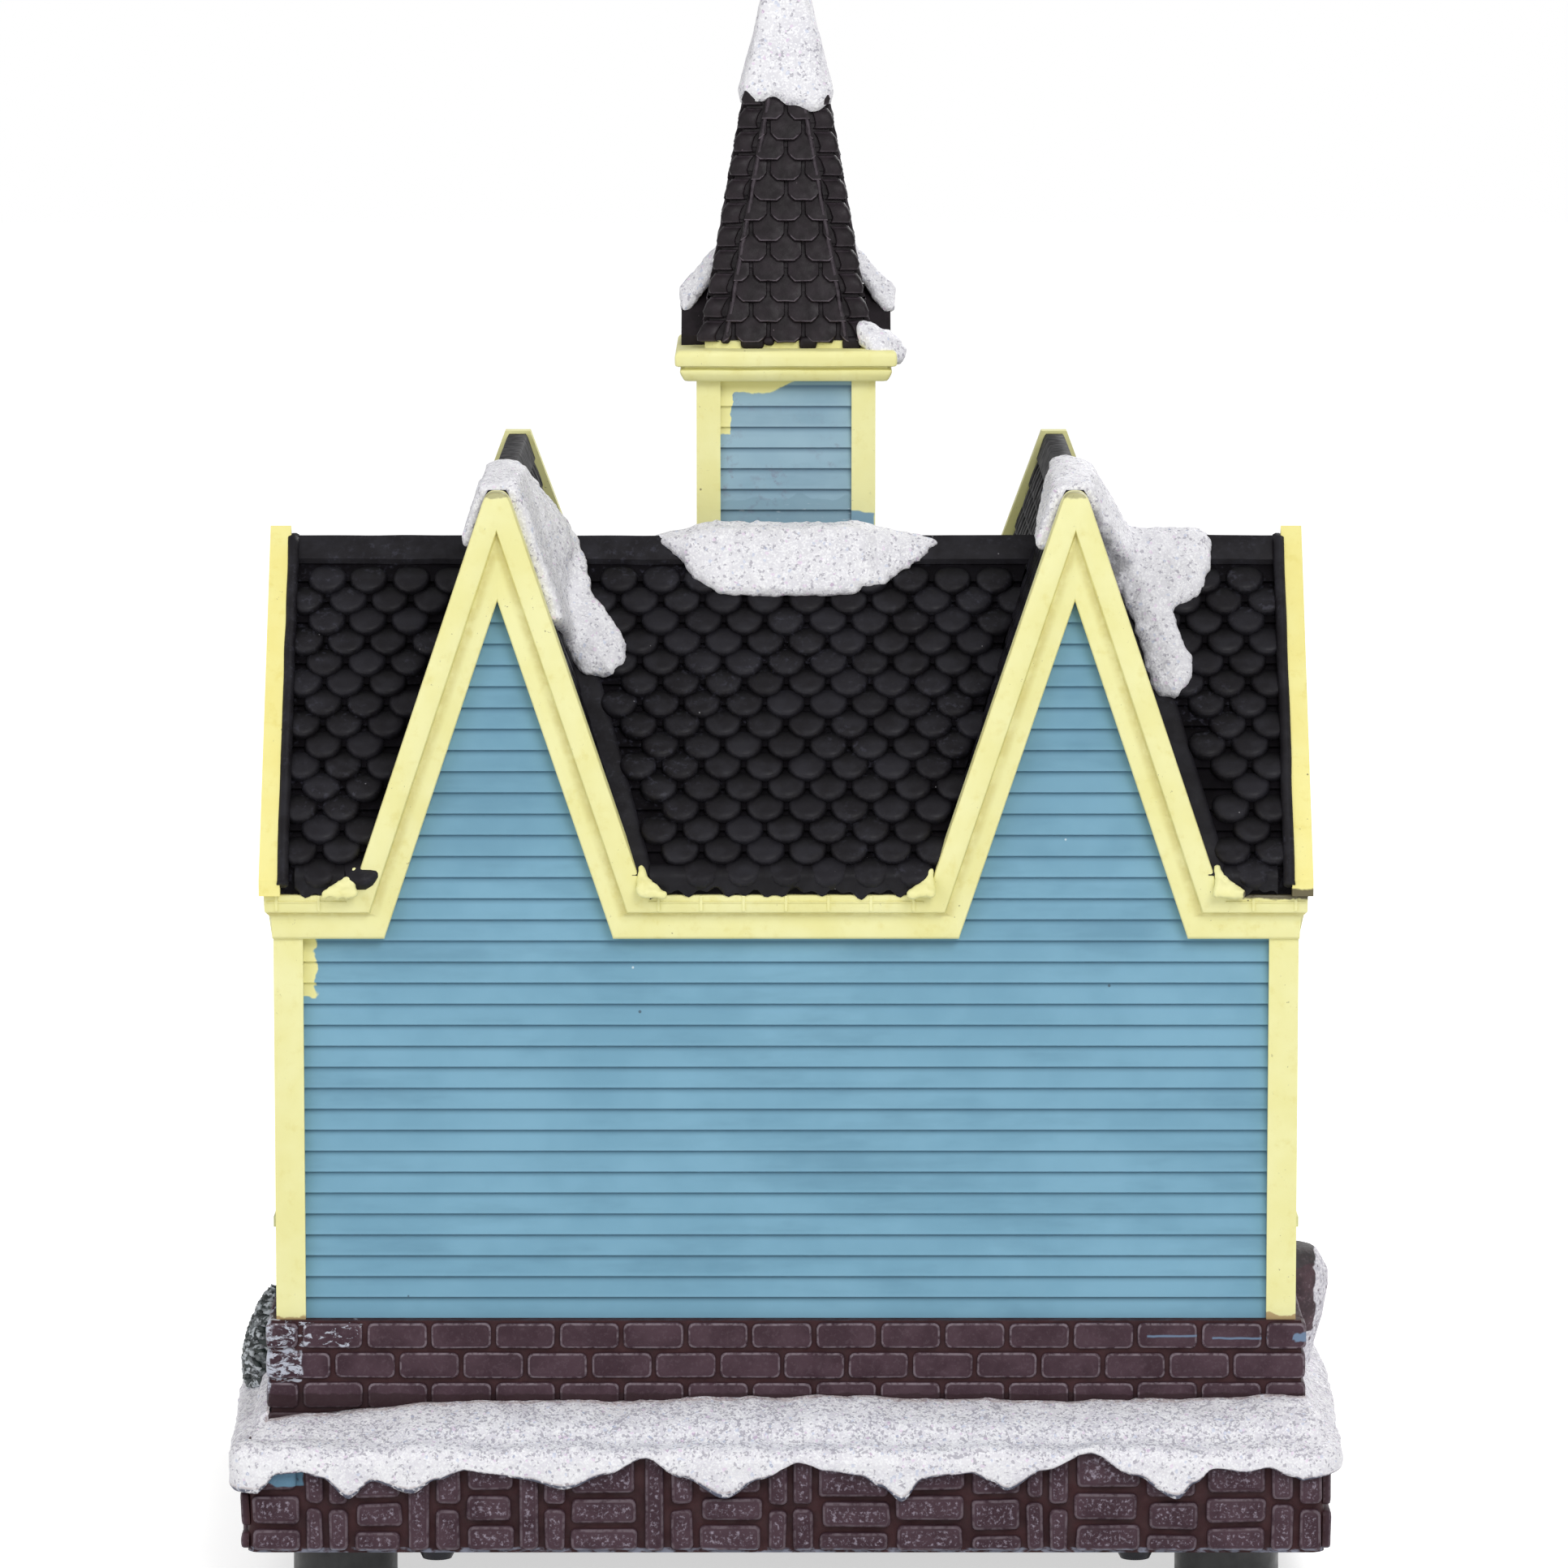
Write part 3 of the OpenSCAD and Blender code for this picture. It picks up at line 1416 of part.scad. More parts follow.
// Mound on the ridge behind the tower. Its outline is in shares of its width and height.
mound_w = 41;
mound_h = 9.5;
mound_share = [
  [-0.5, 1.2], [-0.5, 0.78], [-0.4, 0.42], [-0.32, 0.2], [-0.12, 0.02], [0.08, 0], [0.26, 0.1], [0.33, 0.3],
  [0.4, 0.6], [0.5, 0.8], [0.5, 1.2]];

module ridge_snow() {
  roof_snow(ridge_y - roof_snow_t, ridge_y + mound_h) {
    translate([0, ridge_z - mound_h]) polygon([for (p = mound_share) [p[0] * mound_w, p[1] * mound_h]]);
  }
}

// Snow over the rear end of a gable and down the valley beside it. The outlines are in shares
// of the width and height of the patch, from the middle of the gable and from its peak.
patch_w = 22;
patch_drop = 22;
patch_h = peak_z - ridge_z + patch_drop;
patch_reach = body_d / 2;
right_patch_share = [
  [-0.36, -0.24], [-0.3, 0.2], [0.55, 0.2], [0.62, -0.3], [0.83, -0.72], [0.8, -0.86], [0.68, -0.9], [0.52, -0.84],
  [0.42, -0.6], [0.2, -0.2]];
left_patch_share = [
  [-0.36, -0.24], [-0.3, 0.2], [0.3, 0.2], [0.3, -0.27], [0.97, -0.27], [0.95, -0.5], [0.86, -0.62], [0.7, -0.66],
  [0.78, -0.9], [0.7, -1], [0.6, -0.98], [0.46, -0.72], [0.2, -0.2]];

module patch_outline(shares) {
  translate([0, peak_z]) polygon([for (p = shares) [p[0] * patch_w, p[1] * patch_h]]);
}

module right_gable_snow() {
  roof_snow(rear_y - patch_reach, rear_y) translate([gable_x, 0]) mirror([1, 0]) patch_outline(right_patch_share);
}

module left_gable_snow() {
  roof_snow(rear_y - patch_reach, rear_y) translate([-gable_x, 0]) mirror([1, 0]) patch_outline(left_patch_share);
}

cap_foot_share = 0.52;
gablet_snow_t = spire_snow_t * 1.5;

module spire_snow() {
  foot_z = spire_z + spire_h * cap_foot_share;
  color([0.93, 0.93, 0.95]) difference() {
    translate([0, tower_y, foot_z]) {
      square_cone(spire_half(foot_z) + spire_snow_t, spire_snow_t, spire_top_z + spire_snow_t - foot_z);
    }
    spire_space();
  }
}

module cornice_snow() {
  lump = cap_out * 1.1;
  color([0.93, 0.93, 0.95]) {
    difference() {
      round_tower() gablet_body(gablet_snow_t);
      round_tower() gablet_body(0);
      spire_space();
    }
    difference() {
      translate([-tower_w / 2, tower_y + tower_w / 2 - lump / 2, strip_z]) {
        cylinder(r1 = lump, r2 = lump / 2, h = lump * 0.8);
      }
      round_tower() gablet_body(gablet_snow_t);
      spire_space();
    }
  }
}

// A bush on the right and a boulder on the left lean on the plinth, with their feet in the snow
bush_r = 5.6;
bush_h = 15.4;
bush_y = rear_y * 0.4;
boulder_r = 6;
boulder_h = 19.4;
boulder_y = rear_y * 0.1;

// Half of a round lump that widens from its foot to its waist and narrows to its top
module leaning_lump(r, h, foot_share, waist_share, top_share) {
  waist_h = h * waist_share;
  face_x = plinth_x + snow_gap;
  foot_z = deck_z + snow_edge_h;
  intersection() {
    translate([face_x, 0, foot_z]) {
      cylinder(r1 = r * foot_share, r2 = r, h = waist_h);
      translate([0, 0, waist_h]) cylinder(r1 = r, r2 = r * top_share, h = h - waist_h);
    }
    block(face_x, face_x + r + cut, -r - cut, r + cut, foot_z - cut, foot_z + h + cut);
  }
}

module right_bush() {
  color([0.12, 0.2, 0.15]) difference() {
    translate([0, bush_y, 0]) leaning_lump(bush_r, bush_h, 0.8, 0.3, 0.25);
    ground_snow();
  }
}

module left_boulder() {
  color([0.27, 0.19, 0.21]) difference() {
    mirror([1, 0, 0]) translate([0, boulder_y, 0]) leaning_lump(boulder_r, boulder_h, 0.5, 0.72, 0.55);
    ground_snow();
  }
}

base_shell();
ground_snow();
yard_snow();
foundation();
bottom_plate();
feet();
plate_screws();
house_screws();
battery_box();
battery_cover();
battery_cells();
battery_springs();
contact_plates();
switch_body();
switch_slider();
lamp_board();
hall_lamp();
tower_lamp();
lamp_leads();
rear_wall();
front_wall();
left_wall();
right_wall();
left_wing();
right_wing();
rear_trim();
front_trim();
left_wing_trim();
right_wing_trim();
left_rake_boards();
right_rake_boards();
corner_boards();
main_roof();
left_gable_roof();
right_gable_roof();
tower_walls();
tower_corner_boards();
tower_cornice();
spire();
gablets();
window_frames();
window_panes();
tower_louvres();
door_frame();
front_door();
door_wreath();
front_steps();
ridge_snow();
left_gable_snow();
right_gable_snow();
spire_snow();
cornice_snow();
right_bush();
left_boulder();
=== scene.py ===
import math
import random

import bmesh
import bpy
import numpy as np
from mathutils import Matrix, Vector


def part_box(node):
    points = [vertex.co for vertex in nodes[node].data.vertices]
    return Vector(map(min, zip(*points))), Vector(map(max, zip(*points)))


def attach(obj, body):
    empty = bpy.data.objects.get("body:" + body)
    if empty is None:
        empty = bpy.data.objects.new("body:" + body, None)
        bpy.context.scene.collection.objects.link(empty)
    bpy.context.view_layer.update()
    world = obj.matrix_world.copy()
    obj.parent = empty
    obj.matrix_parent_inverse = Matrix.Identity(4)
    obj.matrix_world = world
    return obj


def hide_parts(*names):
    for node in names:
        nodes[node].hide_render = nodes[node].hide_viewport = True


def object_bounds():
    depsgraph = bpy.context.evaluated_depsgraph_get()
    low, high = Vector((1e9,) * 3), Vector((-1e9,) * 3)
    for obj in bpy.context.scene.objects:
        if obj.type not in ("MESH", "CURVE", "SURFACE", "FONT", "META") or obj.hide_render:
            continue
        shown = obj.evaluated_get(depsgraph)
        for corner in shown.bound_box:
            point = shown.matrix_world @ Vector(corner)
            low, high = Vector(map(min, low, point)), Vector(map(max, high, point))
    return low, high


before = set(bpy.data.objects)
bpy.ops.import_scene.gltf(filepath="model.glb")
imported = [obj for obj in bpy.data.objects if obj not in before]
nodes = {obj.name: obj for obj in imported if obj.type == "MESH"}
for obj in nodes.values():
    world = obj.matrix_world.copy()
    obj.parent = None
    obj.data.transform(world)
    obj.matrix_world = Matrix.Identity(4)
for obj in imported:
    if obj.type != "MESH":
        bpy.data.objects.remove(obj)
CAD_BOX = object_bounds()
BODY = "house"

# ---------------------------------------------------------------- sizes, in millimetres
MM = 0.001
RIDGE_Y, RIDGE_Z = 19.5, 148.0
EAVE_Z, PEAK_Z, APEX_Z = 100.5, 158.0, 162.5
MAIN_RUN, MAIN_SLOPE = 32.0, 1.3875
GABLE_X, GABLE_LEAN = 41.0, 20.9 / 62.0
REAR_Y, FRONT_Y, WING_Y = 48.5, -9.5, -40.5
SIDE_X = 72.0
TOWER_Y, TOWER_HALF = -3.0, 12.5
SPIRE_Z, SPIRE_TOP_Z, SPIRE_HALF = 176.2, 242.7, 11.9
SPIRE_LEAN = SPIRE_HALF / (SPIRE_TOP_Z - SPIRE_Z)
CORNICE_Z = 170.4
DECK_Z, SKIRT_Z, WALL_Z = 20.0, 7.0, 38.5
BASE_X, BASE_Y = 78.0, 62.5
WING_HALF = 18.5
RELIEF, STONE_RELIEF = 0.6, 1.1
PLINTH_OUT = 2.6
PLINTH_X, PLINTH_REAR, PLINTH_FRONT = SIDE_X + PLINTH_OUT, REAR_Y + PLINTH_OUT, WING_Y - PLINTH_OUT


# ---------------------------------------------------------------- noise for shapes
def lattice(ix, iy, iz, seed):
    """A fixed random value from -1 to 1 for each whole-number place."""
    mask = np.uint64(0xFFFFFFFF)
    n = (
        ix.astype(np.uint64) * np.uint64(374761393)
        + iy.astype(np.uint64) * np.uint64(668265263)
        + iz.astype(np.uint64) * np.uint64(2246822519)
        + np.uint64(seed * 3266489917 % 4294967291)
    ) & mask
    n = ((n ^ (n >> np.uint64(13))) * np.uint64(1274126177)) & mask
    n = (n ^ (n >> np.uint64(16))) & mask
    return n.astype(float) / 4294967295.0 * 2 - 1


def noise3(points, size, seed=0):
    """Smooth noise from -1 to 1 at points in millimetres, with features of that size."""
    p = np.asarray(points, float) / size + 1000.0
    i = np.floor(p).astype(np.int64)
    f = p - i
    f = f * f * (3 - 2 * f)
    out = 0
    for dx in (0, 1):
        for dy in (0, 1):
            for dz in (0, 1):
                w = (
                    (f[:, 0] if dx else 1 - f[:, 0])
                    * (f[:, 1] if dy else 1 - f[:, 1])
                    * (f[:, 2] if dz else 1 - f[:, 2])
                )
                out = out + w * lattice(i[:, 0] + dx, i[:, 1] + dy, i[:, 2] + dz, seed)
    return out


def fbm(points, size, seed=0, octaves=3):
    """Noise from -1 to 1 with finer noise on it."""
    total, amplitude, norm = 0, 1.0, 0
    for k in range(octaves):
        total = total + amplitude * noise3(points, size / 2**k, seed + 17 * k)
        norm += amplitude
        amplitude *= 0.5
    return total / norm


# ---------------------------------------------------------------- meshes
def make(name, verts, faces, material, slot, replaces=(), attrs=None, smooth=35.0):
    """A mesh piece from vertices in millimetres. attrs are numbers per vertex."""
    mesh = bpy.data.meshes.new(name)
    mesh.from_pydata((np.asarray(verts, float) * MM).tolist(), [], faces)
    mesh.update()
    for key, values in (attrs or {}).items():
        layer = mesh.attributes.new(key, "FLOAT", "POINT")
        layer.data.foreach_set("value", np.asarray(values, np.float32))
    b = bmesh.new()
    b.from_mesh(mesh)
    bmesh.ops.remove_doubles(b, verts=b.verts, dist=2e-6)
    bmesh.ops.dissolve_degenerate(b, edges=b.edges, dist=2e-6)
    bmesh.ops.recalc_face_normals(b, faces=b.faces)
    b.to_mesh(mesh)
    b.free()
    mesh.polygons.foreach_set("use_smooth", [True] * len(mesh.polygons))
    if smooth < 180:
        mesh.set_sharp_from_angle(angle=math.radians(smooth))
    mesh.materials.append(material)
    obj = bpy.data.objects.new(name, mesh)
    bpy.context.scene.collection.objects.link(obj)
    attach(obj, BODY)
    if replaces:
        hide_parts(*replaces)
    return obj


class Parts:
    """Collects many small pieces into one mesh, with their edge and random values."""

    def __init__(self):
        self.verts, self.faces, self.edge, self.rand, self.count = [], [], [], [], 0

    def add(self, verts, faces, edge, rand=0.5):
        self.verts.append(np.asarray(verts, float))
        self.faces.extend([tuple(k + self.count for k in f) for f in faces])
        self.edge.append(np.full(len(verts), edge, float))
        self.rand.append(np.full(len(verts), rand))
        self.count += len(verts)

    def place(self, template, origin, eu, ev, ew, rand=0.5, clip=None):
        """Adds a shape given in u, v and w, with clip applied to it first."""
        t, faces, edge = template
        if clip is not None:
            t = clip(t.copy())
        verts = np.asarray(origin) + np.outer(t[:, 0], eu) + np.outer(t[:, 1], ev) + np.outer(t[:, 2], ew)
        self.add(verts, faces, edge, rand)

    def make(self, name, material, slot, rough=0.0, **extra):
        """Makes the piece. rough is how far its points are moved by fine noise."""
        verts = np.concatenate(self.verts)
        if rough:
            for axis in range(3):
                verts[:, axis] += rough * noise3(verts, 1.4, 31 + axis)
        return make(
            name, verts, self.faces, material, slot,
            attrs={"edge": np.concatenate(self.edge), "rand": np.concatenate(self.rand)}, **extra)


def loft(rings, caps=True):
    """Vertices and faces of closed rings of equal length joined in order."""
    n = len(rings[0])
    verts = np.concatenate([np.asarray(r, float) for r in rings])
    faces = [(a * n + k, a * n + (k + 1) % n, (a + 1) * n + (k + 1) % n, (a + 1) * n + k)
             for a in range(len(rings) - 1) for k in range(n)]
    if caps:
        faces += [tuple(range(n)), tuple(range((len(rings) - 1) * n, len(rings) * n))]
    return verts, faces


def at_level(points, z):
    """Points in a plane, lifted to a level."""
    return np.column_stack([points, np.full(len(points), z)])


def rounded_rect(x0, x1, y0, y1, r, steps=3):
    """Outline of a rectangle with round corners."""
    r = max(min(r, (x1 - x0) / 2 - 1e-3, (y1 - y0) / 2 - 1e-3), 1e-3)
    out = []
    for cx, cy, a0 in ((x1 - r, y0 + r, -90), (x1 - r, y1 - r, 0), (x0 + r, y1 - r, 90), (x0 + r, y0 + r, 180)):
        for k in range(steps + 1):
            a = math.radians(a0 + 90 * k / steps)
            out.append((cx + r * math.cos(a), cy + r * math.sin(a)))
    return np.array(out)


def cushion(x0, x1, y0, y1, radius, low, high, crown=0.0, soft=0.3):
    """A flat block with round corners and soft edges, in u, v and w."""
    rings, edge = [], []
    size = min(x1 - x0, y1 - y0)
    for inset, w, e in (
            (0.0, low, 0.2), (0.0, high - soft, 0.75), (soft * 0.3, high - soft * 0.3, 1.0), (soft, high, 0.9),
            (min(soft * 2.2, size * 0.3), high + crown * 0.6, 0.15), (size * 0.42, high + crown, 0.0)):
        ring = rounded_rect(x0 + inset, x1 - inset, y0 + inset, y1 - inset, radius - inset * 0.6)
        rings.append(at_level(ring, w))
        edge += [e] * len(ring)
    return (*loft(rings), np.array(edge))


def rounded_off(points):
    """Cuts the corners of a closed outline."""
    points = np.array(points, float)
    after = np.roll(points, -1, axis=0)
    return np.stack([points * 0.75 + after * 0.25, points * 0.25 + after * 0.75], axis=1).reshape(-1, 2)


def roof_bump(half, length, rise, lift):
    """A raised roof scale with a blunt lower tip. u runs across, v down the roof and w outward."""
    outline = rounded_off([
        (-half * 0.6, 0), (-half, length * 0.26), (-half, length * 0.64), (-half * 0.46, length),
        (half * 0.46, length), (half, length * 0.64), (half, length * 0.26), (half * 0.6, 0)])
    middle = np.array([0, length * 0.52])
    rings, edge = [], []
    for share, w, e in ((1.04, -0.7, 1.0), (1.0, rise * 0.2, 0.95), (0.93, rise * 0.62, 0.5),
                        (0.8, rise * 0.88, 0.12), (0.5, rise * 0.98, 0.0), (0.14, rise, 0.0)):
        ring = middle + (outline - middle) * share
        down = ring[:, 1] / length
        above = w > 0
        rings.append(at_level(ring, w))
        rings[-1][:, 2] += lift * (down - 0.5) * above
        # painted shade: the lower edge is painted paler than the sides, and the top of the scale is painted dark as the
        # shade it lies in
        shade = e * (1 - 0.7 * np.clip((down - 0.55) / 0.3, 0, 1) * above)
        edge.append(np.maximum(shade, np.clip(1.3 - down / 0.46, 0, 1)))
    return (*loft(rings), np.concatenate(edge))


# ---------------------------------------------------------------- materials
def srgb(r, g, b):
    """A colour as the shaders take it, from screen values up to 255."""
    def one(c):
        c /= 255.0
        return c / 12.92 if c <= 0.04045 else ((c + 0.055) / 1.055) ** 2.4

    return (one(r), one(g), one(b), 1.0)


class Mat:
    """A small builder for procedural materials. Positions are object coordinates in metres."""

    def __init__(self, name, rough=0.5, **sockets):
        self.mat = bpy.data.materials.new(name)
        self.mat.use_nodes = True
        self.tree = self.mat.node_tree
        self.shader = self.tree.nodes["Principled BSDF"]
        self.shader.inputs["Roughness"].default_value = rough
        for key, value in sockets.items():
            self.shader.inputs[key.replace("_", " ")].default_value = value
        self.coord = self.split = self.paint = None

    def link(self, a, b):
        self.tree.links.new(a, b)

    def node(self, kind, inputs=(), **settings):
        """A new shader node. Its inputs are given as sockets or as plain values."""
        n = self.tree.nodes.new("ShaderNode" + kind)
        for key, value in settings.items():
            setattr(n, key, value)
        for key, value in dict(inputs).items():
            if isinstance(value, bpy.types.NodeSocket):
                self.link(value, n.inputs[key])
            else:
                n.inputs[key].default_value = value
        return n

    def xyz(self, k):
        """One of the three coordinates."""
        if self.split is None:
            self.split = self.node("SeparateXYZ", {0: self.stretched()})
        return self.split.outputs[k]

    def stretched(self, stretch=None, shift=None):
        """The coordinates, stretched and shifted where that is asked for."""
        if self.coord is None:
            self.coord = self.node("TexCoord").outputs["Object"]
        if stretch is None and shift is None:
            return self.coord
        shift = shift or 0
        place = (shift, shift * 0.7, shift * 1.3)
        return self.node("Mapping", {"Vector": self.coord, "Scale": stretch or (1, 1, 1), "Location": place}).outputs[0]

    def noise(self, size, detail=3.0, rough=0.55, stretch=None, distortion=0.0, w=None):
        return self.node("TexNoise", {
            "Scale": 1 / (size * MM), "Detail": detail, "Roughness": rough, "Distortion": distortion,
            "Vector": self.stretched(stretch, w)}).outputs["Fac"]

    def cells(self, size, out="Distance", w=None):
        return self.node("TexVoronoi", {"Scale": 1 / (size * MM), "Vector": self.stretched(None, w)}).outputs[out]

    def cell_values(self, size, w=None):
        """Three random values from 0 to 1 in each cell."""
        return self.node("SeparateColor", {0: self.cells(size, "Color", w)}).outputs

    def attr(self, name):
        return self.node("Attribute", attribute_name=name).outputs["Fac"]

    def math(self, op, a, b=0.0, clamp=False):
        return self.node("Math", {0: a, 1: b}, operation=op, use_clamp=clamp).outputs[0]

    def mul(self, first, *others):
        for value in others:
            first = self.math("MULTIPLY", first, value)
        return first

    def either(self, first, *others):
        for value in others:
            first = self.math("MAXIMUM", first, value)
        return first

    def plus(self, a, b):
        return self.math("ADD", a, b)

    def minus(self, a, b):
        return self.math("SUBTRACT", a, b)

    def span(self, value, a, b, lo=0.0, hi=1.0):
        """value mapped smoothly from the range a to b onto lo to hi."""
        return self.node(
            "MapRange", {"Value": value, "From Min": a, "From Max": b, "To Min": lo, "To Max": hi},
            interpolation_type="SMOOTHSTEP").outputs[0]

    def blots(self, size, a, b, lo=0.0, hi=1.0, **noise):
        """Noise of that size, mapped like a span."""
        return self.span(self.noise(size, **noise), a, b, lo, hi)

    def ragged(self, reach, size, **noise):
        """An offset in metres that wanders by reach millimetres."""
        return self.mul(self.minus(self.noise(size, **noise), 0.5), reach * MM)

    def mix(self, fac, a, b):
        return self.node("Mix", {0: fac, 6: a, 7: b}, data_type="RGBA").outputs[2]

    def up(self):
        """The upward part of the surface's true normal, from -1 to 1."""
        return self.node("SeparateXYZ", {0: self.node("NewGeometry").outputs["Normal"]}).outputs[2]

    def window(self, x0=None, x1=None, y0=None, y1=None, z0=None, z1=None, wave=0.0, size=4.0, soft=0.15):
        """1 inside a box given in millimetres, with a wavy edge."""
        shift = self.ragged(2 * wave, size, detail=2.0) if wave else 0.0
        out = None
        for k, lo, hi in ((0, x0, x1), (1, y0, y1), (2, z0, z1)):
            v = self.plus(self.xyz(k), shift)
            for limit, ends in ((lo, (0.0, 1.0)), (hi, (1.0, 0.0))):
                if limit is not None:
                    part = self.span(v, (limit - soft) * MM, (limit + soft) * MM, *ends)
                    out = part if out is None else self.mul(out, part)
        return out

    def specks(self, size, radius, share, w=0.0):
        """1 in small round specks: one in share of the cells of that size holds one."""
        near = self.span(self.cells(size, w=w), radius / size, radius / size * 1.6, 1.0, 0.0)
        return self.mul(near, self.math("LESS_THAN", self.cell_values(size, w)[0], share))

    def ground(self, mask, a, b):
        """The first coat, between two colours."""
        self.paint = self.mix(mask, a, b)

    def coat(self, mask, colour, amount=None):
        """A further coat where the mask lets it through."""
        self.paint = self.mix(mask if amount is None else self.mul(mask, amount), self.paint, colour)

    def bump(self, height, strength, distance):
        n = self.node("Bump", {"Strength": strength, "Distance": distance * MM, "Height": height})
        last = self.shader.inputs["Normal"].links
        if last:
            self.link(last[0].from_socket, n.inputs["Normal"])
        self.link(n.outputs[0], self.shader.inputs["Normal"])

    def done(self, roughness, *bumps):
        """Joins the coats, the roughness and bumps of (height, strength, distance) to the shader."""
        self.link(self.paint, self.shader.inputs["Base Color"])
        if roughness is not None:
            self.link(roughness, self.shader.inputs["Roughness"])
        for bump in bumps:
            self.bump(*bump)
        return self.mat


YELLOW = srgb(234, 229, 158)
BOARD_PITCH = 3.05


def paint_trim(name="trim_paint", base=YELLOW, pale=srgb(239, 236, 174), deep=srgb(222, 212, 128)):
    """Yellow trim with darker streaks, cracks, brown chips at its feet, painted shade along the cove of its moulding
    and some dirt.
    """
    m = Mat(name)
    m.ground(m.blots(9.0, 0.3, 0.7), base, pale)
    m.coat(m.blots(2.2, 0.52, 0.78, 0.0, 0.5, detail=4.0, rough=0.6, w=0.3), deep)
    crack = m.mul(m.blots(0.55, 0.66, 0.72, rough=0.7, w=1.1), m.blots(5.0, 0.52, 0.62, detail=2.0, w=2.0))
    m.coat(crack, srgb(120, 112, 84), 0.75)
    chips = m.either(
        m.window(x0=68.4, x1=75.2, z0=38.0, z1=38.9, wave=0.7, size=1.6),
        m.window(x0=-75.2, x1=-68.4, z0=38.0, z1=39.2, wave=0.9, size=1.6))
    m.coat(chips, srgb(140, 88, 50), 0.7)
    # painted shade in the cove of the moulding and round its raised marks, where the edge value is high
    line = m.mul(m.span(m.attr("edge"), 0.3, 0.85), m.blots(2.4, 0.3, 0.58, 0.3, 1.0, rough=0.6, w=0.8))
    m.coat(line, srgb(200, 186, 104), 0.5)
    m.coat(m.specks(3.0, 0.12, 0.25), srgb(110, 100, 70), 0.8)
    dirt = m.either(
        m.window(x0=-75.5, x1=-65.0, y0=50.0, z0=99.9, z1=101.5, wave=0.5, size=1.6),
        m.mul(m.window(y0=50.0, z0=157.2, wave=0.5, size=1.2), 0.55))
    m.coat(dirt, srgb(52, 40, 36), 0.9)
    blue = m.window(x0=-12.7, x1=-8.4, y0=8.5, y1=11.0, z0=144.0, z1=151.2, wave=1.6, size=5.0)
    m.coat(blue, srgb(122, 157, 176))
    return m.done(m.blots(3.0, 0.3, 0.7, 0.42, 0.6), (m.noise(0.7), 0.25, 0.08), (m.noise(4.0, 2.0), 0.3, 0.25))


def paint_siding(name, base, dark, light, tower=False):
    """Blue boards with painted shade under each lip and a painted highlight on each lip, with the stains of the tower
    or of the hall.
    """
    m = Mat(name, 0.52)
    up_board = m.math("FRACT", m.math("DIVIDE", m.minus(m.xyz(2), WALL_Z * MM), BOARD_PITCH * MM))
    m.ground(m.blots(14.0, 0.32, 0.68), base, light)
    m.coat(m.blots(5.0, 0.45, 0.75, 0.0, 0.35, detail=4.0, stretch=(0.25, 0.25, 1.0)), dark)
    # painted shade just under each board's lip, then a painted highlight along the lip itself
    m.coat(m.span(up_board, 0.66, 0.97, 0.0, 0.9), dark)
    m.coat(m.mul(m.span(up_board, 0.0, 0.05), m.span(up_board, 0.05, 0.2, 1.0, 0.0)), light, 0.35)
    if tower:
        purple = m.mul(m.blots(1.2, 0.5, 0.68, detail=4.0, rough=0.65), m.blots(7.0, 0.45, 0.7, detail=2.0, w=0.5))
        m.coat(purple, srgb(118, 112, 132), 0.6)
        # the trim's paint hangs over the siding under the cornice, deepest at the corner board
        along = m.plus(m.xyz(0), m.plus(m.ragged(1.6, 2.6, w=0.9), 1.5 * MM))
        share = m.math("DIVIDE", along, 11.5 * MM, clamp=True)
        curve = m.plus(m.span(share, 0.0, 0.35, 0.0, 1.9 * MM), m.span(share, 0.79, 0.87, 0.0, 6.2 * MM))
        above = m.plus(m.minus(m.xyz(2), CORNICE_Z * MM), m.plus(curve, m.ragged(1.2, 2.2)))
        m.coat(m.mul(m.span(above, -0.1 * MM, 0.15 * MM), m.window(x0=-2.0, y0=8.0, wave=0.8)), YELLOW)
        m.coat(m.window(y0=8.0, z0=148.0, z1=153.0, wave=2.0), srgb(108, 140, 156), 0.4)
        scratch = m.mul(m.window(y0=8.0, z0=147.5, z1=152.0, wave=1.5),
                        m.blots(0.5, 0.62, 0.7, stretch=(0.25, 1.0, 1.0), w=0.4))
        m.coat(scratch, srgb(196, 208, 216), 0.6)
    else:
        m.coat(m.window(y0=47.0, z0=105.0, wave=4.0, size=9.0, soft=3.0), dark, 0.3)
        m.coat(m.window(x0=67.3, x1=70.5, y0=46.0, z0=85.0, z1=94.6, wave=1.5, size=2.6), YELLOW)
    m.coat(m.specks(7.0, 0.14, 0.3), srgb(200, 214, 220), 0.85)
    m.coat(m.specks(11.0, 0.17, 0.3, w=0.4), srgb(60, 78, 92), 0.8)
    return m.done(m.blots(4.0, 0.3, 0.7, 0.45, 0.62), (m.noise(0.8), 0.2, 0.07),
                  (m.noise(6.0, 2.0, stretch=(0.4, 0.4, 1.0)), 0.3, 0.25))


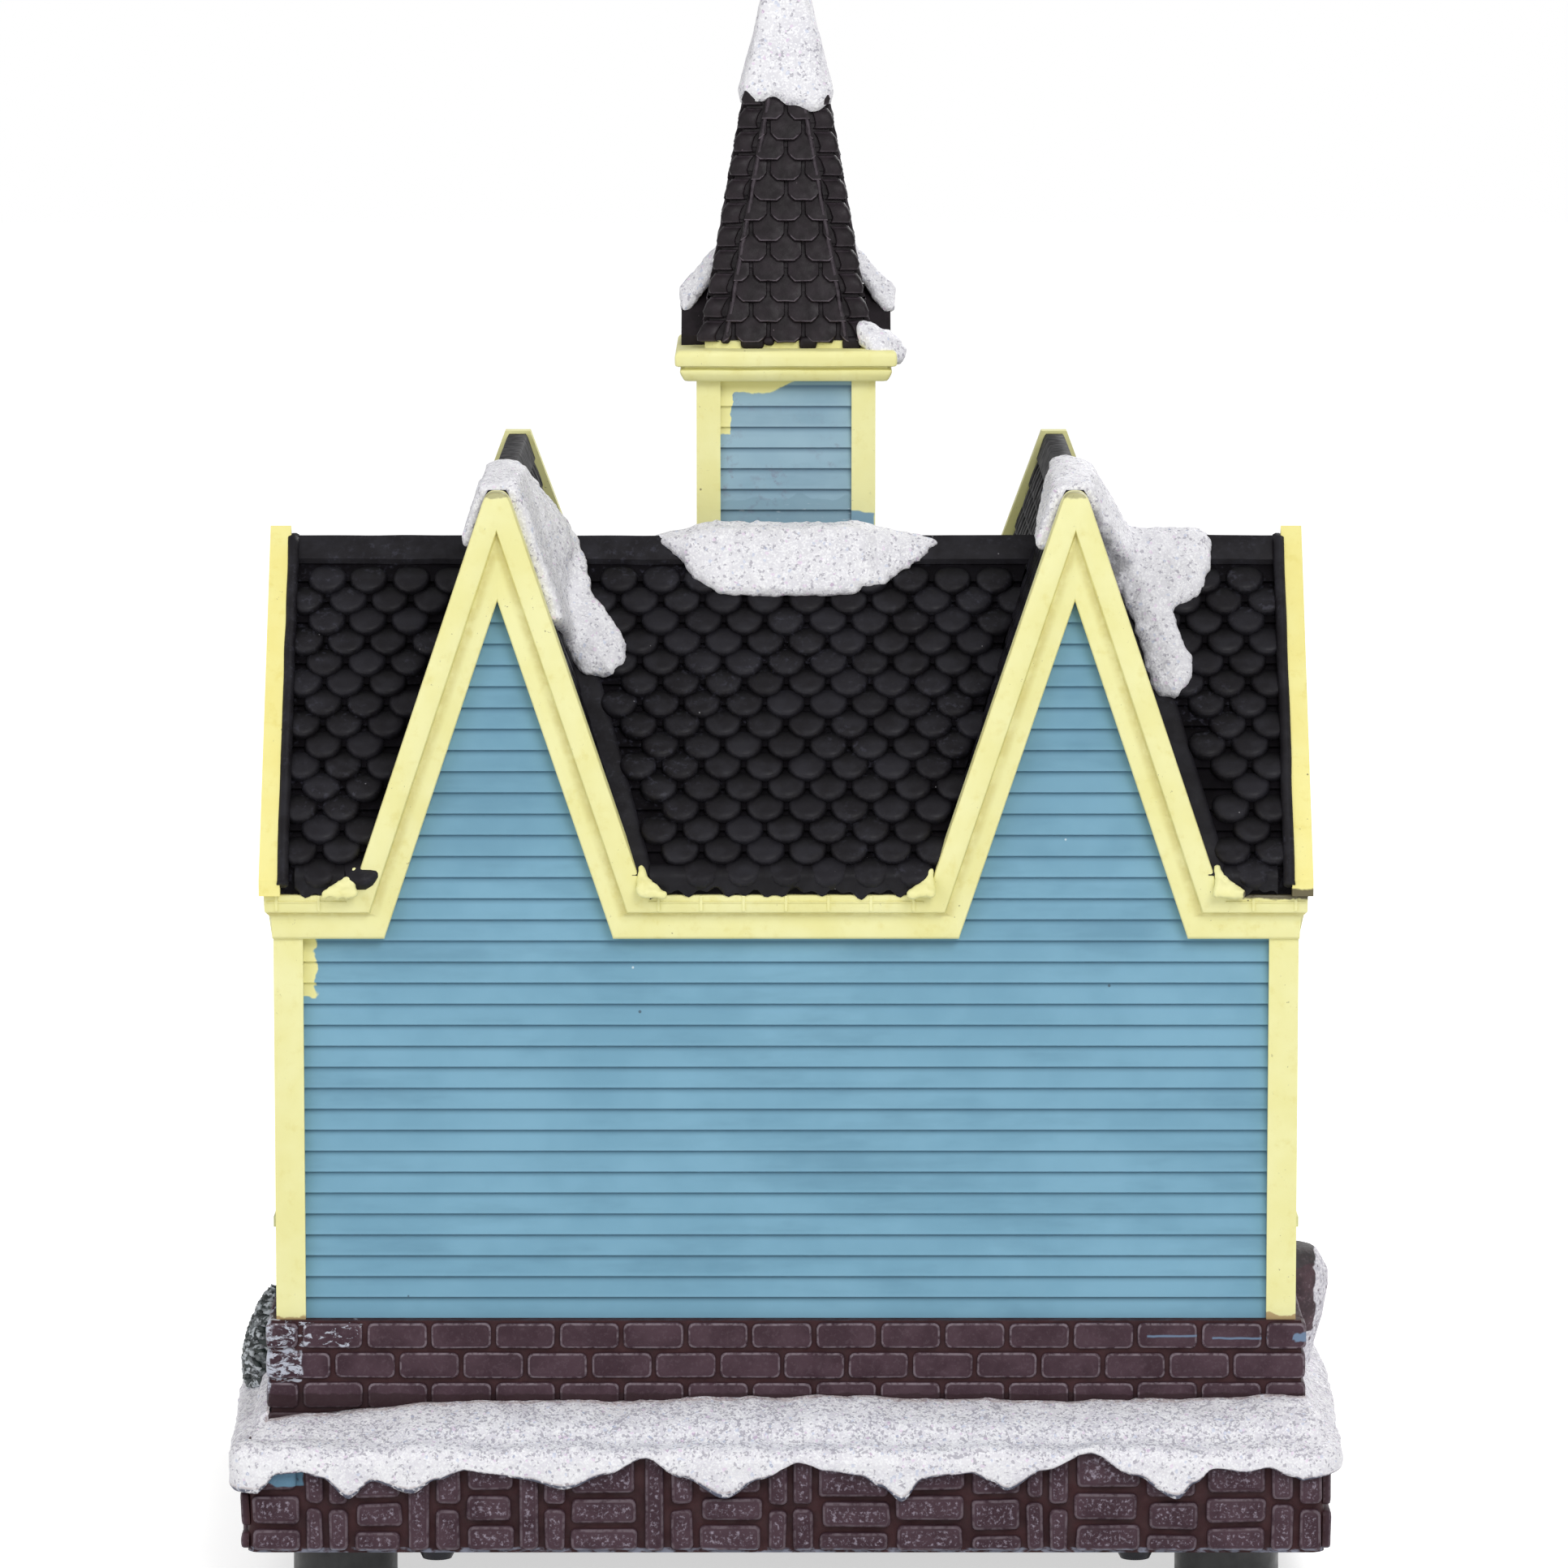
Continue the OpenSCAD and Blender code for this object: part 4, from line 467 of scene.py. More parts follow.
def paint_shingle(name, gloss, low=srgb(26, 24, 28), high=srgb(37, 36, 41)):
    """Black scales, darker at the edges and tops as painted shade, under a little painted sheen."""
    m = Mat(name, Specular_IOR_Level=gloss)
    m.ground(m.blots(3.0, 0.35, 0.7), low, high)
    # painted shade where the edge value is high: on the tops and sides of the scales and between them
    m.coat(m.span(m.attr("edge"), 0.1, 0.85, 0.0, 0.85), srgb(8, 7, 9))
    m.coat(m.span(m.attr("rand"), 0.5, 1.0), srgb(44, 43, 50), 0.3)
    # a faint pale bluish mottle, a painted sheen on the black scales
    painted_sheen = m.mul(m.blots(0.9, 0.52, 0.72, detail=4.0, rough=0.65), m.blots(12.0, 0.45, 0.65, detail=2.0, w=0.8))
    m.coat(painted_sheen, srgb(84, 84, 98), 0.3)
    m.coat(m.specks(2.4, 0.08, 0.2), srgb(150, 148, 152), 0.6)
    return m.done(m.blots(1.6, 0.35, 0.7, 0.42, 0.62, detail=4.0, rough=0.6), (m.noise(0.5), 0.3, 0.08),
                  (m.noise(2.2, 2.0), 0.3, 0.15))


def paint_spire():
    """Dark brown tiles with pale brushed edges, palest at the tiles' lower ends as a painted highlight."""
    m = Mat("spire_paint", Specular_IOR_Level=0.22)
    m.ground(m.blots(2.2, 0.35, 0.7, detail=4.0), srgb(23, 17, 21), srgb(36, 29, 34))
    line = m.mul(m.span(m.attr("edge"), 0.55, 1.0), m.blots(1.0, 0.3, 0.6, 0.35, 1.0, rough=0.6))
    m.coat(line, srgb(98, 89, 97), 0.9)
    m.coat(m.specks(1.6, 0.07, 0.15), srgb(125, 110, 118), 0.5)
    return m.done(m.blots(1.2, 0.3, 0.7, 0.42, 0.62), (m.noise(0.45), 0.35, 0.08))


def paint_brick(name, brush, pale, line):
    """Dark red-brown under a dry brush of grey that catches edges and faces."""
    m = Mat(name, 0.6, Specular_IOR_Level=0.25)
    joint = m.mix(m.blots(3.0, 0.3, 0.7), srgb(48, 24, 28), srgb(62, 34, 37))
    face = m.mix(m.blots(5.0, 0.35, 0.65), srgb(56, 36, 45), srgb(71, 51, 60))
    edge, raised = m.attr("edge"), m.attr("raised")
    on_face = m.math("SUBTRACT", 1.0, m.span(edge, 0.15, 0.6), clamp=True)
    m.ground(raised, joint, face)
    m.coat(m.mul(m.blots(0.6, 0.5, 0.68, detail=4.0, rough=0.7), on_face, raised), pale, brush)
    rim = m.mul(m.span(edge, 0.78, 0.98), m.blots(0.9, 0.32, 0.62, rough=0.6, w=0.7), raised)
    m.coat(rim, srgb(150, 138, 146), line)
    # white brush marks on the end bricks of the plinth
    streaky = m.noise(1.6, 4.0, 0.7, stretch=(0.8, 1.0, 1.6), distortion=0.6)
    white = m.either(
        m.mul(m.window(x0=61.0, y0=49.0, z0=34.3, z1=38.6, wave=2.0, size=3.0), m.span(streaky, 0.56, 0.62)),
        m.mul(m.window(x0=69.6, y0=49.0, z0=29.6, z1=34.2, wave=1.2, size=3.0), m.span(streaky, 0.45, 0.53)),
        m.mul(m.window(x0=70.6, y0=49.0, z0=34.3, z1=39.0, wave=1.2, size=3.0), m.span(streaky, 0.5, 0.57)),
        m.mul(m.window(x0=74.0, y0=40.0, z0=26.0, z1=39.0, wave=1.6, size=5.0), m.blots(1.2, 0.4, 0.55)))
    m.coat(white, srgb(200, 205, 218), 0.8)
    # blue marks: two thin strokes and a smear on the plinth, and a patch on the stones
    streak = m.mul(m.either(
        m.window(x0=-59.6, x1=-51.8, y0=50.0, z0=36.2, z1=36.5, wave=0.2, size=3.0, soft=0.1),
        m.window(x0=-69.0, x1=-61.2, y0=50.0, z0=35.9, z1=36.2, wave=0.2, size=3.0, soft=0.1)), raised, 0.6)
    smear = m.mul(m.window(x0=-75.5, x1=-72.9, y0=50.0, z0=35.6, z1=36.8, wave=0.7, size=1.5), 0.7)
    m.coat(m.either(streak, smear), srgb(120, 148, 178))
    patch = m.window(x0=68.6, x1=76.8, y0=60.0, z0=16.6, z1=22.5, wave=2.2, size=6.0)
    m.coat(m.mul(patch, m.blots(1.5, 0.3, 0.45)), srgb(104, 146, 172), 0.85)
    # a pale line at the foot of the stones, and painted shade in the crease where the plinth meets the snow
    foot = m.mul(m.window(y0=60.0, z1=7.7, wave=0.3, size=2.0), m.blots(0.9, 0.42, 0.58, stretch=(0.4, 1.0, 1.0)))
    m.coat(foot, srgb(168, 176, 196), 0.5)
    m.coat(m.window(y0=49.0, z0=24.0, z1=27.9, wave=0.5, size=2.0), srgb(40, 20, 24), 0.75)
    return m.done(m.blots(2.0, 0.3, 0.7, 0.5, 0.72), (m.noise(0.5, 4.0, 0.65), 0.5, 0.12))


def glitter_snow(name, white_a, white_b, grey_a, grey_b, grain):
    """Snow of glitter grains, with painted shade by facing: whites on steep parts and greys with more dark grains on
    flat ones.
    """
    m = Mat(name, 0.55)
    # painted shade: faces turned upward are painted grey, steep faces white
    shade = m.span(m.up(), 0.15, 0.75)
    coarse, fine = m.cell_values(0.42), m.cell_values(0.24, 0.9)
    white = m.mix(m.blots(6.0, 0.35, 0.65), white_a, white_b)
    grey = m.mix(m.blots(3.5, 0.35, 0.65, w=0.2), grey_a, grey_b)
    m.ground(shade, white, grey)
    m.coat(m.math("LESS_THAN", coarse[0], m.span(shade, 0.0, 1.0, 0.10, grain)), srgb(144, 140, 154), 0.6)
    m.coat(m.math("GREATER_THAN", fine[1], 0.7), srgb(250, 250, 252), 0.65)
    m.coat(m.math("GREATER_THAN", coarse[2], 0.985), srgb(222, 180, 222), 0.35)
    m.coat(m.math("LESS_THAN", coarse[2], 0.02), srgb(160, 178, 215), 0.35)
    mottle = m.mul(m.blots(0.7, 0.56, 0.7, detail=4.0, rough=0.7, w=1.3), m.blots(5.0, 0.42, 0.6, detail=2.0, w=1.7))
    m.coat(mottle, srgb(172, 170, 184), 0.4)
    # glue at the rim, brown and then blue, and the underside painted dark as shade
    rim = m.attr("rim")
    broken = m.blots(0.8, 0.36, 0.52, rough=0.6, w=0.6)
    m.coat(m.mul(m.span(rim, 0.2, 0.5), m.span(rim, 0.5, 0.7, 1.0, 0.0), broken), srgb(146, 112, 104), 0.45)
    m.coat(m.mul(m.span(rim, 0.45, 0.85), broken), srgb(52, 60, 88), 0.9)
    m.coat(m.span(rim, 1.1, 1.6), srgb(44, 32, 40))
    return m.done(m.span(m.math("GREATER_THAN", fine[0], 0.9), 0.0, 1.0, 0.62, 0.16),
                  (m.cells(0.42), 0.5, 0.14), (m.noise(1.6), 0.5, 0.3))


def plastic(name, base, rough=0.4, grain=0.5):
    """Moulded plastic with a few pale specks."""
    m = Mat(name, rough)
    lighter = tuple(min(1.0, v * 1.5 + 0.004) for v in base[:3]) + (1.0,)
    m.ground(m.blots(5.0, 0.35, 0.7, detail=4.0), base, lighter)
    m.coat(m.specks(4.0, 0.1, 0.3), srgb(150, 148, 146), 0.4)
    return m.done(m.blots(2.0, 0.3, 0.7, rough * 0.85, min(1.0, rough * 1.35)), (m.noise(grain), 0.3, 0.06))


def metal(name, base, rough):
    """Plain metal, faintly brushed."""
    m = Mat(name, rough, Metallic=1.0)
    m.ground(m.blots(2.0, 0.3, 0.7, detail=4.0), base, tuple(v * 0.8 for v in base[:3]) + (1.0,))
    return m.done(m.blots(0.6, 0.3, 0.7, rough * 0.7, rough * 1.5, detail=4.0, stretch=(1, 6, 1)),
                  (m.noise(0.4, 2.0), 0.15, 0.03))


def pane_glass():
    """Amber film with a slight wave."""
    m = Mat("pane_amber", 0.25, Transmission_Weight=0.25, IOR=1.45)
    m.ground(m.blots(6.0, 0.3, 0.7, detail=2.0), srgb(244, 206, 110), srgb(250, 222, 150))
    m.coat(m.blots(1.0, 0.55, 0.75), srgb(222, 168, 70), 0.35)
    return m.done(m.blots(2.0, 0.3, 0.7, 0.18, 0.34, detail=2.0), (m.noise(2.6, 2.0), 0.4, 0.15))


def paint_leaf():
    """Dark green leaves with snow on their edges."""
    m = Mat("leaf_paint", 0.55)
    m.ground(m.blots(2.0, 0.35, 0.65), srgb(20, 27, 28), srgb(36, 47, 46))
    m.coat(m.mul(m.span(m.attr("edge"), 0.4, 0.9), m.blots(0.8, 0.36, 0.54, rough=0.6)), srgb(214, 220, 226), 0.85)
    return m.done(None, (m.noise(0.5), 0.4, 0.1))


def paint_rock():
    """Dark rock with snow at its foot and on the outer side."""
    m = Mat("rock_paint", 0.6)
    m.ground(m.blots(2.6, 0.35, 0.65, detail=4.0, rough=0.6), srgb(50, 30, 38), srgb(76, 52, 60))
    m.coat(m.blots(0.7, 0.52, 0.7, detail=4.0, rough=0.65), srgb(140, 120, 128), 0.4)
    m.coat(m.window(z0=38.5, wave=1.5, size=3.0), srgb(40, 48, 46), 0.55)
    drift = m.either(m.window(x1=-78.7, z1=43.5, wave=1.2, size=3.0), m.window(z1=28.5, wave=1.5, size=3.0))
    grain = m.mix(m.blots(0.5, 0.4, 0.6, detail=2.0), srgb(196, 193, 203), srgb(232, 230, 236))
    m.coat(m.mul(drift, m.blots(0.9, 0.3, 0.42, w=0.5)), grain)
    return m.done(None, (m.noise(1.0, 4.0, 0.6), 0.6, 0.3))


TRIM = paint_trim()
RAKE = paint_trim("rake_paint", srgb(241, 229, 140), srgb(244, 236, 156), srgb(228, 212, 112))
SIDING = paint_siding("siding_paint", srgb(109, 157, 181), srgb(80, 125, 148), srgb(119, 167, 191))
TOWER = paint_siding("tower_siding_paint", srgb(129, 163, 181), srgb(96, 129, 150), srgb(144, 176, 192), tower=True)
SHINGLE = paint_shingle("shingle_paint", 0.16)
# a darker copy of the shingle paint for the roof under the scales, as painted shade in the pits between them
PIT_SHADE_SHINGLE = paint_shingle("shingle_pit_shade", 0.05, srgb(11, 9, 12), srgb(17, 15, 19))
GABLE_SHINGLE = paint_shingle("gable_shingle_paint", 0.05)
SPIRE = paint_spire()
BRICK = paint_brick("brick_paint", 0.12, srgb(124, 108, 116), 0.55)
STONE = paint_brick("stone_paint", 0.8, srgb(160, 150, 164), 0.35)
# The same glitter snow twice: the roofs' copy has paler greys and fewer dark grains, so less painted shade, than the
# bank's
SNOW = glitter_snow(
    "snow_paint", srgb(236, 235, 239), srgb(225, 223, 230), srgb(215, 212, 221), srgb(231, 229, 235), 0.32)
ROOF_SNOW = glitter_snow(
    "roof_snow_paint", srgb(230, 229, 233), srgb(218, 217, 223), srgb(221, 220, 225), srgb(233, 232, 237), 0.1)
BLACK = plastic("black_plastic", srgb(22, 22, 24), 0.42)
FOOT = plastic("foot_plastic", srgb(13, 13, 15), 0.34)
STEEL = metal("black_steel", srgb(52, 52, 55), 0.35)
CONTACT = metal("nickel_spring", srgb(222, 222, 226), 0.16)
CELL = plastic("cell_sleeve", srgb(52, 108, 78), 0.3)
BOARD = plastic("circuit_board", srgb(30, 104, 62), 0.45)
LAMP = plastic("lamp_body", srgb(250, 232, 176), 0.2)
LEAD = plastic("lead_insulation", srgb(178, 34, 28), 0.4)
SWITCH = plastic("switch_knob", srgb(220, 219, 214), 0.3)
DOOR = plastic("door_paint", srgb(128, 38, 34), 0.36)
WREATH = paint_leaf()
STEP = plastic("step_paint", srgb(128, 122, 122), 0.6, 1.2)
ROCK = paint_rock()
PANE = pane_glass()

CAD_MATERIALS = (
    (BLACK, "bottom_plate battery_box battery_cover switch_body"), (FOOT, "feet"), (STEEL, "plate_screws house_screws"),
    (CELL, "battery_cells"), (CONTACT, "battery_springs contact_plates"), (SWITCH, "switch_slider"),
    (BOARD, "lamp_board"), (LAMP, "hall_lamp tower_lamp"), (LEAD, "lamp_leads"),
    (SIDING, "rear_wall front_wall left_wall right_wall left_wing right_wing"), (TOWER, "tower_walls"),
    (TRIM, "rear_trim front_trim left_wing_trim right_wing_trim corner_boards tower_corner_boards tower_cornice"),
    (TRIM, "window_frames tower_louvres door_frame"), (RAKE, "left_rake_boards right_rake_boards"),
    (PANE, "window_panes"), (DOOR, "front_door"), (WREATH, "door_wreath right_bush"), (STEP, "front_steps"),
    (PIT_SHADE_SHINGLE, "main_roof"), (GABLE_SHINGLE, "left_gable_roof right_gable_roof"), (SPIRE, "spire gablets"),
    (BRICK, "foundation"), (STONE, "base_shell"), (SNOW, "yard_snow ground_snow"), (ROCK, "left_boulder"),
    (ROOF_SNOW, "ridge_snow left_gable_snow right_gable_snow spire_snow cornice_snow"))
for material, names in CAD_MATERIALS:
    for name in names.split():
        nodes[name].data.materials.clear()
        nodes[name].data.materials.append(material)

# Edges of CAD nodes that are rounded as on a moulded piece, by their width
SOFT_EDGES = (
    (0.5, "left_rake_boards right_rake_boards"), (0.45, "tower_cornice"), (0.35, "corner_boards"),
    (0.4, "rear_trim left_wing_trim right_wing_trim front_steps feet"), (0.3, "front_trim switch_slider gablets"),
    (0.25, "tower_corner_boards"), (0.2, "door_frame battery_cover bottom_plate"), (0.18, "window_frames"))
for width, names in SOFT_EDGES:
    for name in names.split():
        b = nodes[name].modifiers.new("soft_edges", "BEVEL")
        b.width = width * MM
        b.segments = 2
        b.limit_method = "ANGLE"
        b.angle_limit = math.radians(30)
        b.harden_normals = False

# ---------------------------------------------------------------- shingles of the roofs
rnd = random.Random(7)
BUMP = roof_bump(2.75, 5.0, 1.0, 1.35)
GABLE_BUMP = roof_bump(2.4, 4.85, 0.8, 0.25)
# Distances between scales across and down the roofs, of the first row from the ridge, and to a scale's middle
BUMP_W, GABLE_BUMP_W, ROW = 6.05, 5.9, 3.41
FIRST_ROW, GABLE_FIRST_ROW, MID_SCALE = 4.2, 3.6, 2.2


def jitter(amount):
    """A random offset of up to amount either way."""
    return (rnd.random() - 0.5) * 2 * amount


def gable_half(z):
    """Half the width of a gable at a level."""
    return (APEX_Z - z) * GABLE_LEAN


def roof_edge_y(z):
    """Place of the rear slope at a level."""
    return RIDGE_Y + (RIDGE_Z - z) / MAIN_SLOPE


def valley_strip(z):
    """Width of the smooth strip beside a gable, which narrows down to the eave."""
    return 3.6 - 1.5 * (RIDGE_Z - z) / (RIDGE_Z - EAVE_Z)


shingles = Parts()
slope_l = math.hypot(MAIN_RUN, MAIN_RUN * MAIN_SLOPE)
down_y, down_z = MAIN_RUN / slope_l, -MAIN_RUN * MAIN_SLOPE / slope_l
for side in (1, -1):
    ev = np.array([0, side * down_y, down_z])
    ew = np.array([0, -side * down_z, down_y])
    eu = np.array([side, 0, 0.0])
    for row in range(15):
        start = FIRST_ROW + row * ROW
        z = RIDGE_Z + (start + MID_SCALE) * down_z
        y = RIDGE_Y + side * (start + MID_SCALE) * down_y
        for k in range(-12, 13):
            x = (k + 0.5 * (row % 2)) * BUMP_W
            if abs(x) > SIDE_X - 0.6:
                continue
            if z < PEAK_Z and gable_half(z) - abs(abs(x) - GABLE_X) > 0.4:
                continue
            gable_edges = [c - gable_half(z) for c in (GABLE_X, -GABLE_X)]
            beside = min([edge_x - x for edge_x in gable_edges if edge_x > x - 3.0], default=99.0)
            if side > 0 and beside < valley_strip(z) + 1.0:
                continue
            if side < 0 and abs(x) < TOWER_HALF + 1.0 and abs(y - TOWER_Y) < TOWER_HALF + 1.0:
                continue

            def clip(t, x=x, side=side):
                t[:, 0] = np.clip(x * side + t[:, 0], -SIDE_X, SIDE_X) - x * side
                return t

            origin = np.array([x + jitter(0.1), RIDGE_Y, RIDGE_Z])
            origin = origin + ev * (start + jitter(0.1)) + ew * (jitter(0.06) - 0.3)
            shingles.place(BUMP, origin, eu, ev, ew, rnd.random(), clip)
# Smooth strips of roof beside the gables, where the scales stop short
outward = np.array([0, -down_z, down_y])
for centre in (GABLE_X, -GABLE_X):
    rings = []
    for z in np.linspace(RIDGE_Z - 1.5, EAVE_Z + 2.6, 46):
        wide = valley_strip(z)
        rings.append(np.array([
            np.array([centre - gable_half(z) + t, roof_edge_y(z), z]) + outward * w
            for t, w in ((0.9, -0.3), (0.9, 0.4), (0.0, 0.45), (-wide * 0.35, 0.42), (-wide * 0.7, 0.36),
                         (-wide + 0.4, 0.2), (-wide, 0.02), (-wide, -0.3))]))
    verts, faces = loft(rings)
    shingles.add(verts + outward * (0.12 * noise3(verts, 3.0, 15))[:, None], faces, 0.3, 0.2)
# Paint that hangs in an uneven edge over the top of the eave board
LIP_STEPS, LIP_SPANS = 280, ((3, 19), (102, 179), (263, 278))
eave_y, eave_z = RIDGE_Y + MAIN_RUN, RIDGE_Z - MAIN_RUN * MAIN_SLOPE
lip_rings = []
for x in (-SIDE_X + 0.5 + (2 * SIDE_X - 1.0) * k / LIP_STEPS for k in range(LIP_STEPS + 1)):
    hang = 0.8 + 0.45 * math.sin(x * 1.04) + 0.4 * math.sin(x * 2.3 + 1.0) + 0.25 * math.sin(x * 0.41)
    lip_rings.append(np.array([
        (x, eave_y + b, eave_z + c - d * hang) for b, c, d in (
            (-1.6, 1.2, 0), (-0.2, 0.9, 0), (0.9, 0.1, 0), (1.15, -0.7, 0), (1.1, -1.7, 0.6), (0.75, -2.1, 0.9),
            (0.2, -1.9, 0.7), (-0.4, -0.6, 0))]))
for start, stop in LIP_SPANS:
    shingles.add(*loft(lip_rings[start:stop]), 0.5, 0.2)
shingles.make("roof_shingles", SHINGLE, "shingle", smooth=70, rough=0.05)

# Gable roofs: scales on a thin sheet, with its top SUNK and its underside INNER below the CAD roof's face
SUNK, INNER = 0.95, 1.7
out_l = math.hypot(gable_half(EAVE_Z) - gable_half(PEAK_Z), PEAK_Z - EAVE_Z)
out_x, out_z = (gable_half(EAVE_Z) - gable_half(PEAK_Z)) / out_l, (EAVE_Z - PEAK_Z) / out_l
for centre, label in ((GABLE_X, "right"), (-GABLE_X, "left")):
    gable = Parts()
    for side in (1, -1):
        ev = np.array([side * out_x, 0, out_z])
        ew = np.array([-side * out_z, 0, out_x])
        eu = np.array([0, -side, 0.0])
        top = np.array([centre + side * gable_half(PEAK_Z), 0, PEAK_Z])
        for row in range(16):
            start = GABLE_FIRST_ROW + row * ROW
            z = PEAK_Z + (start + MID_SCALE) * out_z
            for k in range(16):
                y = WING_Y + 2.6 + (k + 0.5 * (row % 2)) * GABLE_BUMP_W
                from_ridge = abs(y - RIDGE_Y)
                if y > REAR_Y - 1.0 or from_ridge < MAIN_RUN and RIDGE_Z - from_ridge * MAIN_SLOPE > z + 6.0:
                    continue

                def clip(t, y=y, side=side, start=start):
                    t[:, 0] = -side * (np.clip(y - side * t[:, 0], WING_Y + 0.1, REAR_Y - 0.1) - y)
                    t[:, 1] = np.minimum(t[:, 1], out_l - start - 0.05)
                    return t

                origin = top + np.array([0, y + jitter(0.08), 0]) + ev * (start + jitter(0.08))
                origin = origin - ew * (SUNK + jitter(0.04))
                gable.place(GABLE_BUMP, origin, eu, ev, ew, rnd.random(), clip)
    # The sheet under the scales, and the smooth cap along the ridge: half of each profile, mirrored
    low, high, inside = gable_half(EAVE_Z), PEAK_Z - 0.8, PEAK_Z - INNER
    sheet = [(low - SUNK, EAVE_Z), (gable_half(high) - SUNK, high)]
    under = [(low - INNER, EAVE_Z), (gable_half(inside) - INNER, inside)]
    cap_z, blunt = PEAK_Z - 3.8, gable_half(PEAK_Z)
    cap = [(gable_half(cap_z) - 0.1, cap_z), (blunt + 0.1, PEAK_Z - 0.6), (blunt - 0.25, PEAK_Z)]
    cap_under = [(gable_half(cap_z) - 1.1, cap_z)]
    # the sheet takes an edge value of 1, so the shingle paint makes it near black as painted shade between the scales;
    # the cap takes 0
    for outside, back, e in ((sheet, under, 1.0), (cap, cap_under + [(0.0, PEAK_Z - 1.2)], 0.0)):
        profile = [(-a, b) for a, b in outside] + [(a, b) for a, b in reversed(outside)]
        profile += back + [(-a, b) for a, b in reversed(back) if a]
        rings = [np.array([(centre + a, y, b) for a, b in profile]) for y in np.linspace(WING_Y, REAR_Y, 40)]
        gable.add(*loft(rings), e, 0.2)
    gable.make(label + "_gable_shingles", GABLE_SHINGLE, "shingle", replaces=(label + "_gable_roof",), smooth=60)

# Smooth cap along the main ridge, with a slightly uneven line
CAP_RUN, CAP_THICK, CAP_RISE, CAP_STEPS = 2.35, 1.2, 0.62, 90
profile = [(t * CAP_RUN, CAP_RISE - abs(t) ** 1.15 * CAP_RUN * MAIN_SLOPE) for t in np.linspace(-1, 1, 9)]
profile += [(t * (CAP_RUN - 0.3), CAP_RISE - CAP_THICK - abs(t) * (CAP_RUN - 0.3) * MAIN_SLOPE) for t in (1, 0, -1)]
caps = Parts()
rings = []
for k in range(CAP_STEPS + 1):
    ring = np.array([(-SIDE_X + 2 * SIDE_X * k / CAP_STEPS, RIDGE_Y + a, RIDGE_Z + b) for a, b in profile])
    ring[:, 1] += 0.12 * noise3(ring + 3.1, 5.0, 5)
    ring[:, 2] += 0.12 * noise3(ring + 9.7, 5.0, 6)
    rings.append(ring)
caps.add(*loft(rings), 0.0, 0.3)
caps.make("ridge_cap", SHINGLE, "shingle", smooth=50)

# Thick paint along the rake boards, at both ends of both slopes
beads = Parts()
for sx in (1, -1):
    for side in (1, -1):
        ew = np.array([0, -side * down_z, down_y])
        rings = []
        for k in range(61):
            run = 0.2 + (MAIN_RUN + 1.2) * k / 60
            centre = np.array([sx * (SIDE_X - 0.35), RIDGE_Y + side * run, RIDGE_Z - run * MAIN_SLOPE])
            rings.append(np.array([
                centre + np.array([0.85 * math.cos(t), 0, 0]) + ew * (0.85 + 0.95 * math.sin(t))
                for t in (2 * math.pi * a / 10 for a in range(10))]))
        verts, faces = loft(rings)
        verts[:, 0] += 0.1 * noise3(verts, 6.0, 3)
        verts[:, 2] += 0.06 * noise3(verts, 4.0, 4)
        beads.add(verts, faces, 0.0, 0.4)
beads.make("roof_edge_paint", SHINGLE, "shingle", smooth=180)

# ---------------------------------------------------------------- spire
tiles = Parts()


def spire_half(z):
    """Half the width of the spire at a level."""
    return (SPIRE_TOP_Z - z) * SPIRE_LEAN


def tab(width, length, corner, thick, lift):
    """A flat tile with cut lower corners, whose lower end stands out by lift."""
    rings, edge = [], []
    for inset, w, e in ((0, -0.6, 0.0), (0, thick - 0.2, 0.5), (0.1, thick, 1.0), (0.3, thick + 0.03, 0.5),
                        (0.5, thick + 0.06, 0.0), (1.3, thick + 0.1, 0.0)):
        x, c = width / 2 - inset, corner
        y0, y1 = inset, length - inset
        left = [(-x, y0), (-x, (y0 + y1) / 2), (-x, y1 - c), (-x + c * 0.45, y1 - c * 0.5), (-x + c, y1)]
        ring = at_level(left + [(0, y1)] + [(-a, b) for a, b in reversed(left)] + [(0, y0)], w)
        if w > 0:
            ring[:, 2] += lift * (ring[:, 1] / length - 0.3)
        rings.append(ring)
        # the pale edge paint is strongest along the lower end, as a painted highlight
        edge.append(e * (0.35 + 0.65 * (ring[:, 1] > length - corner * 0.7)))
    return (*loft(rings), np.concatenate(edge))


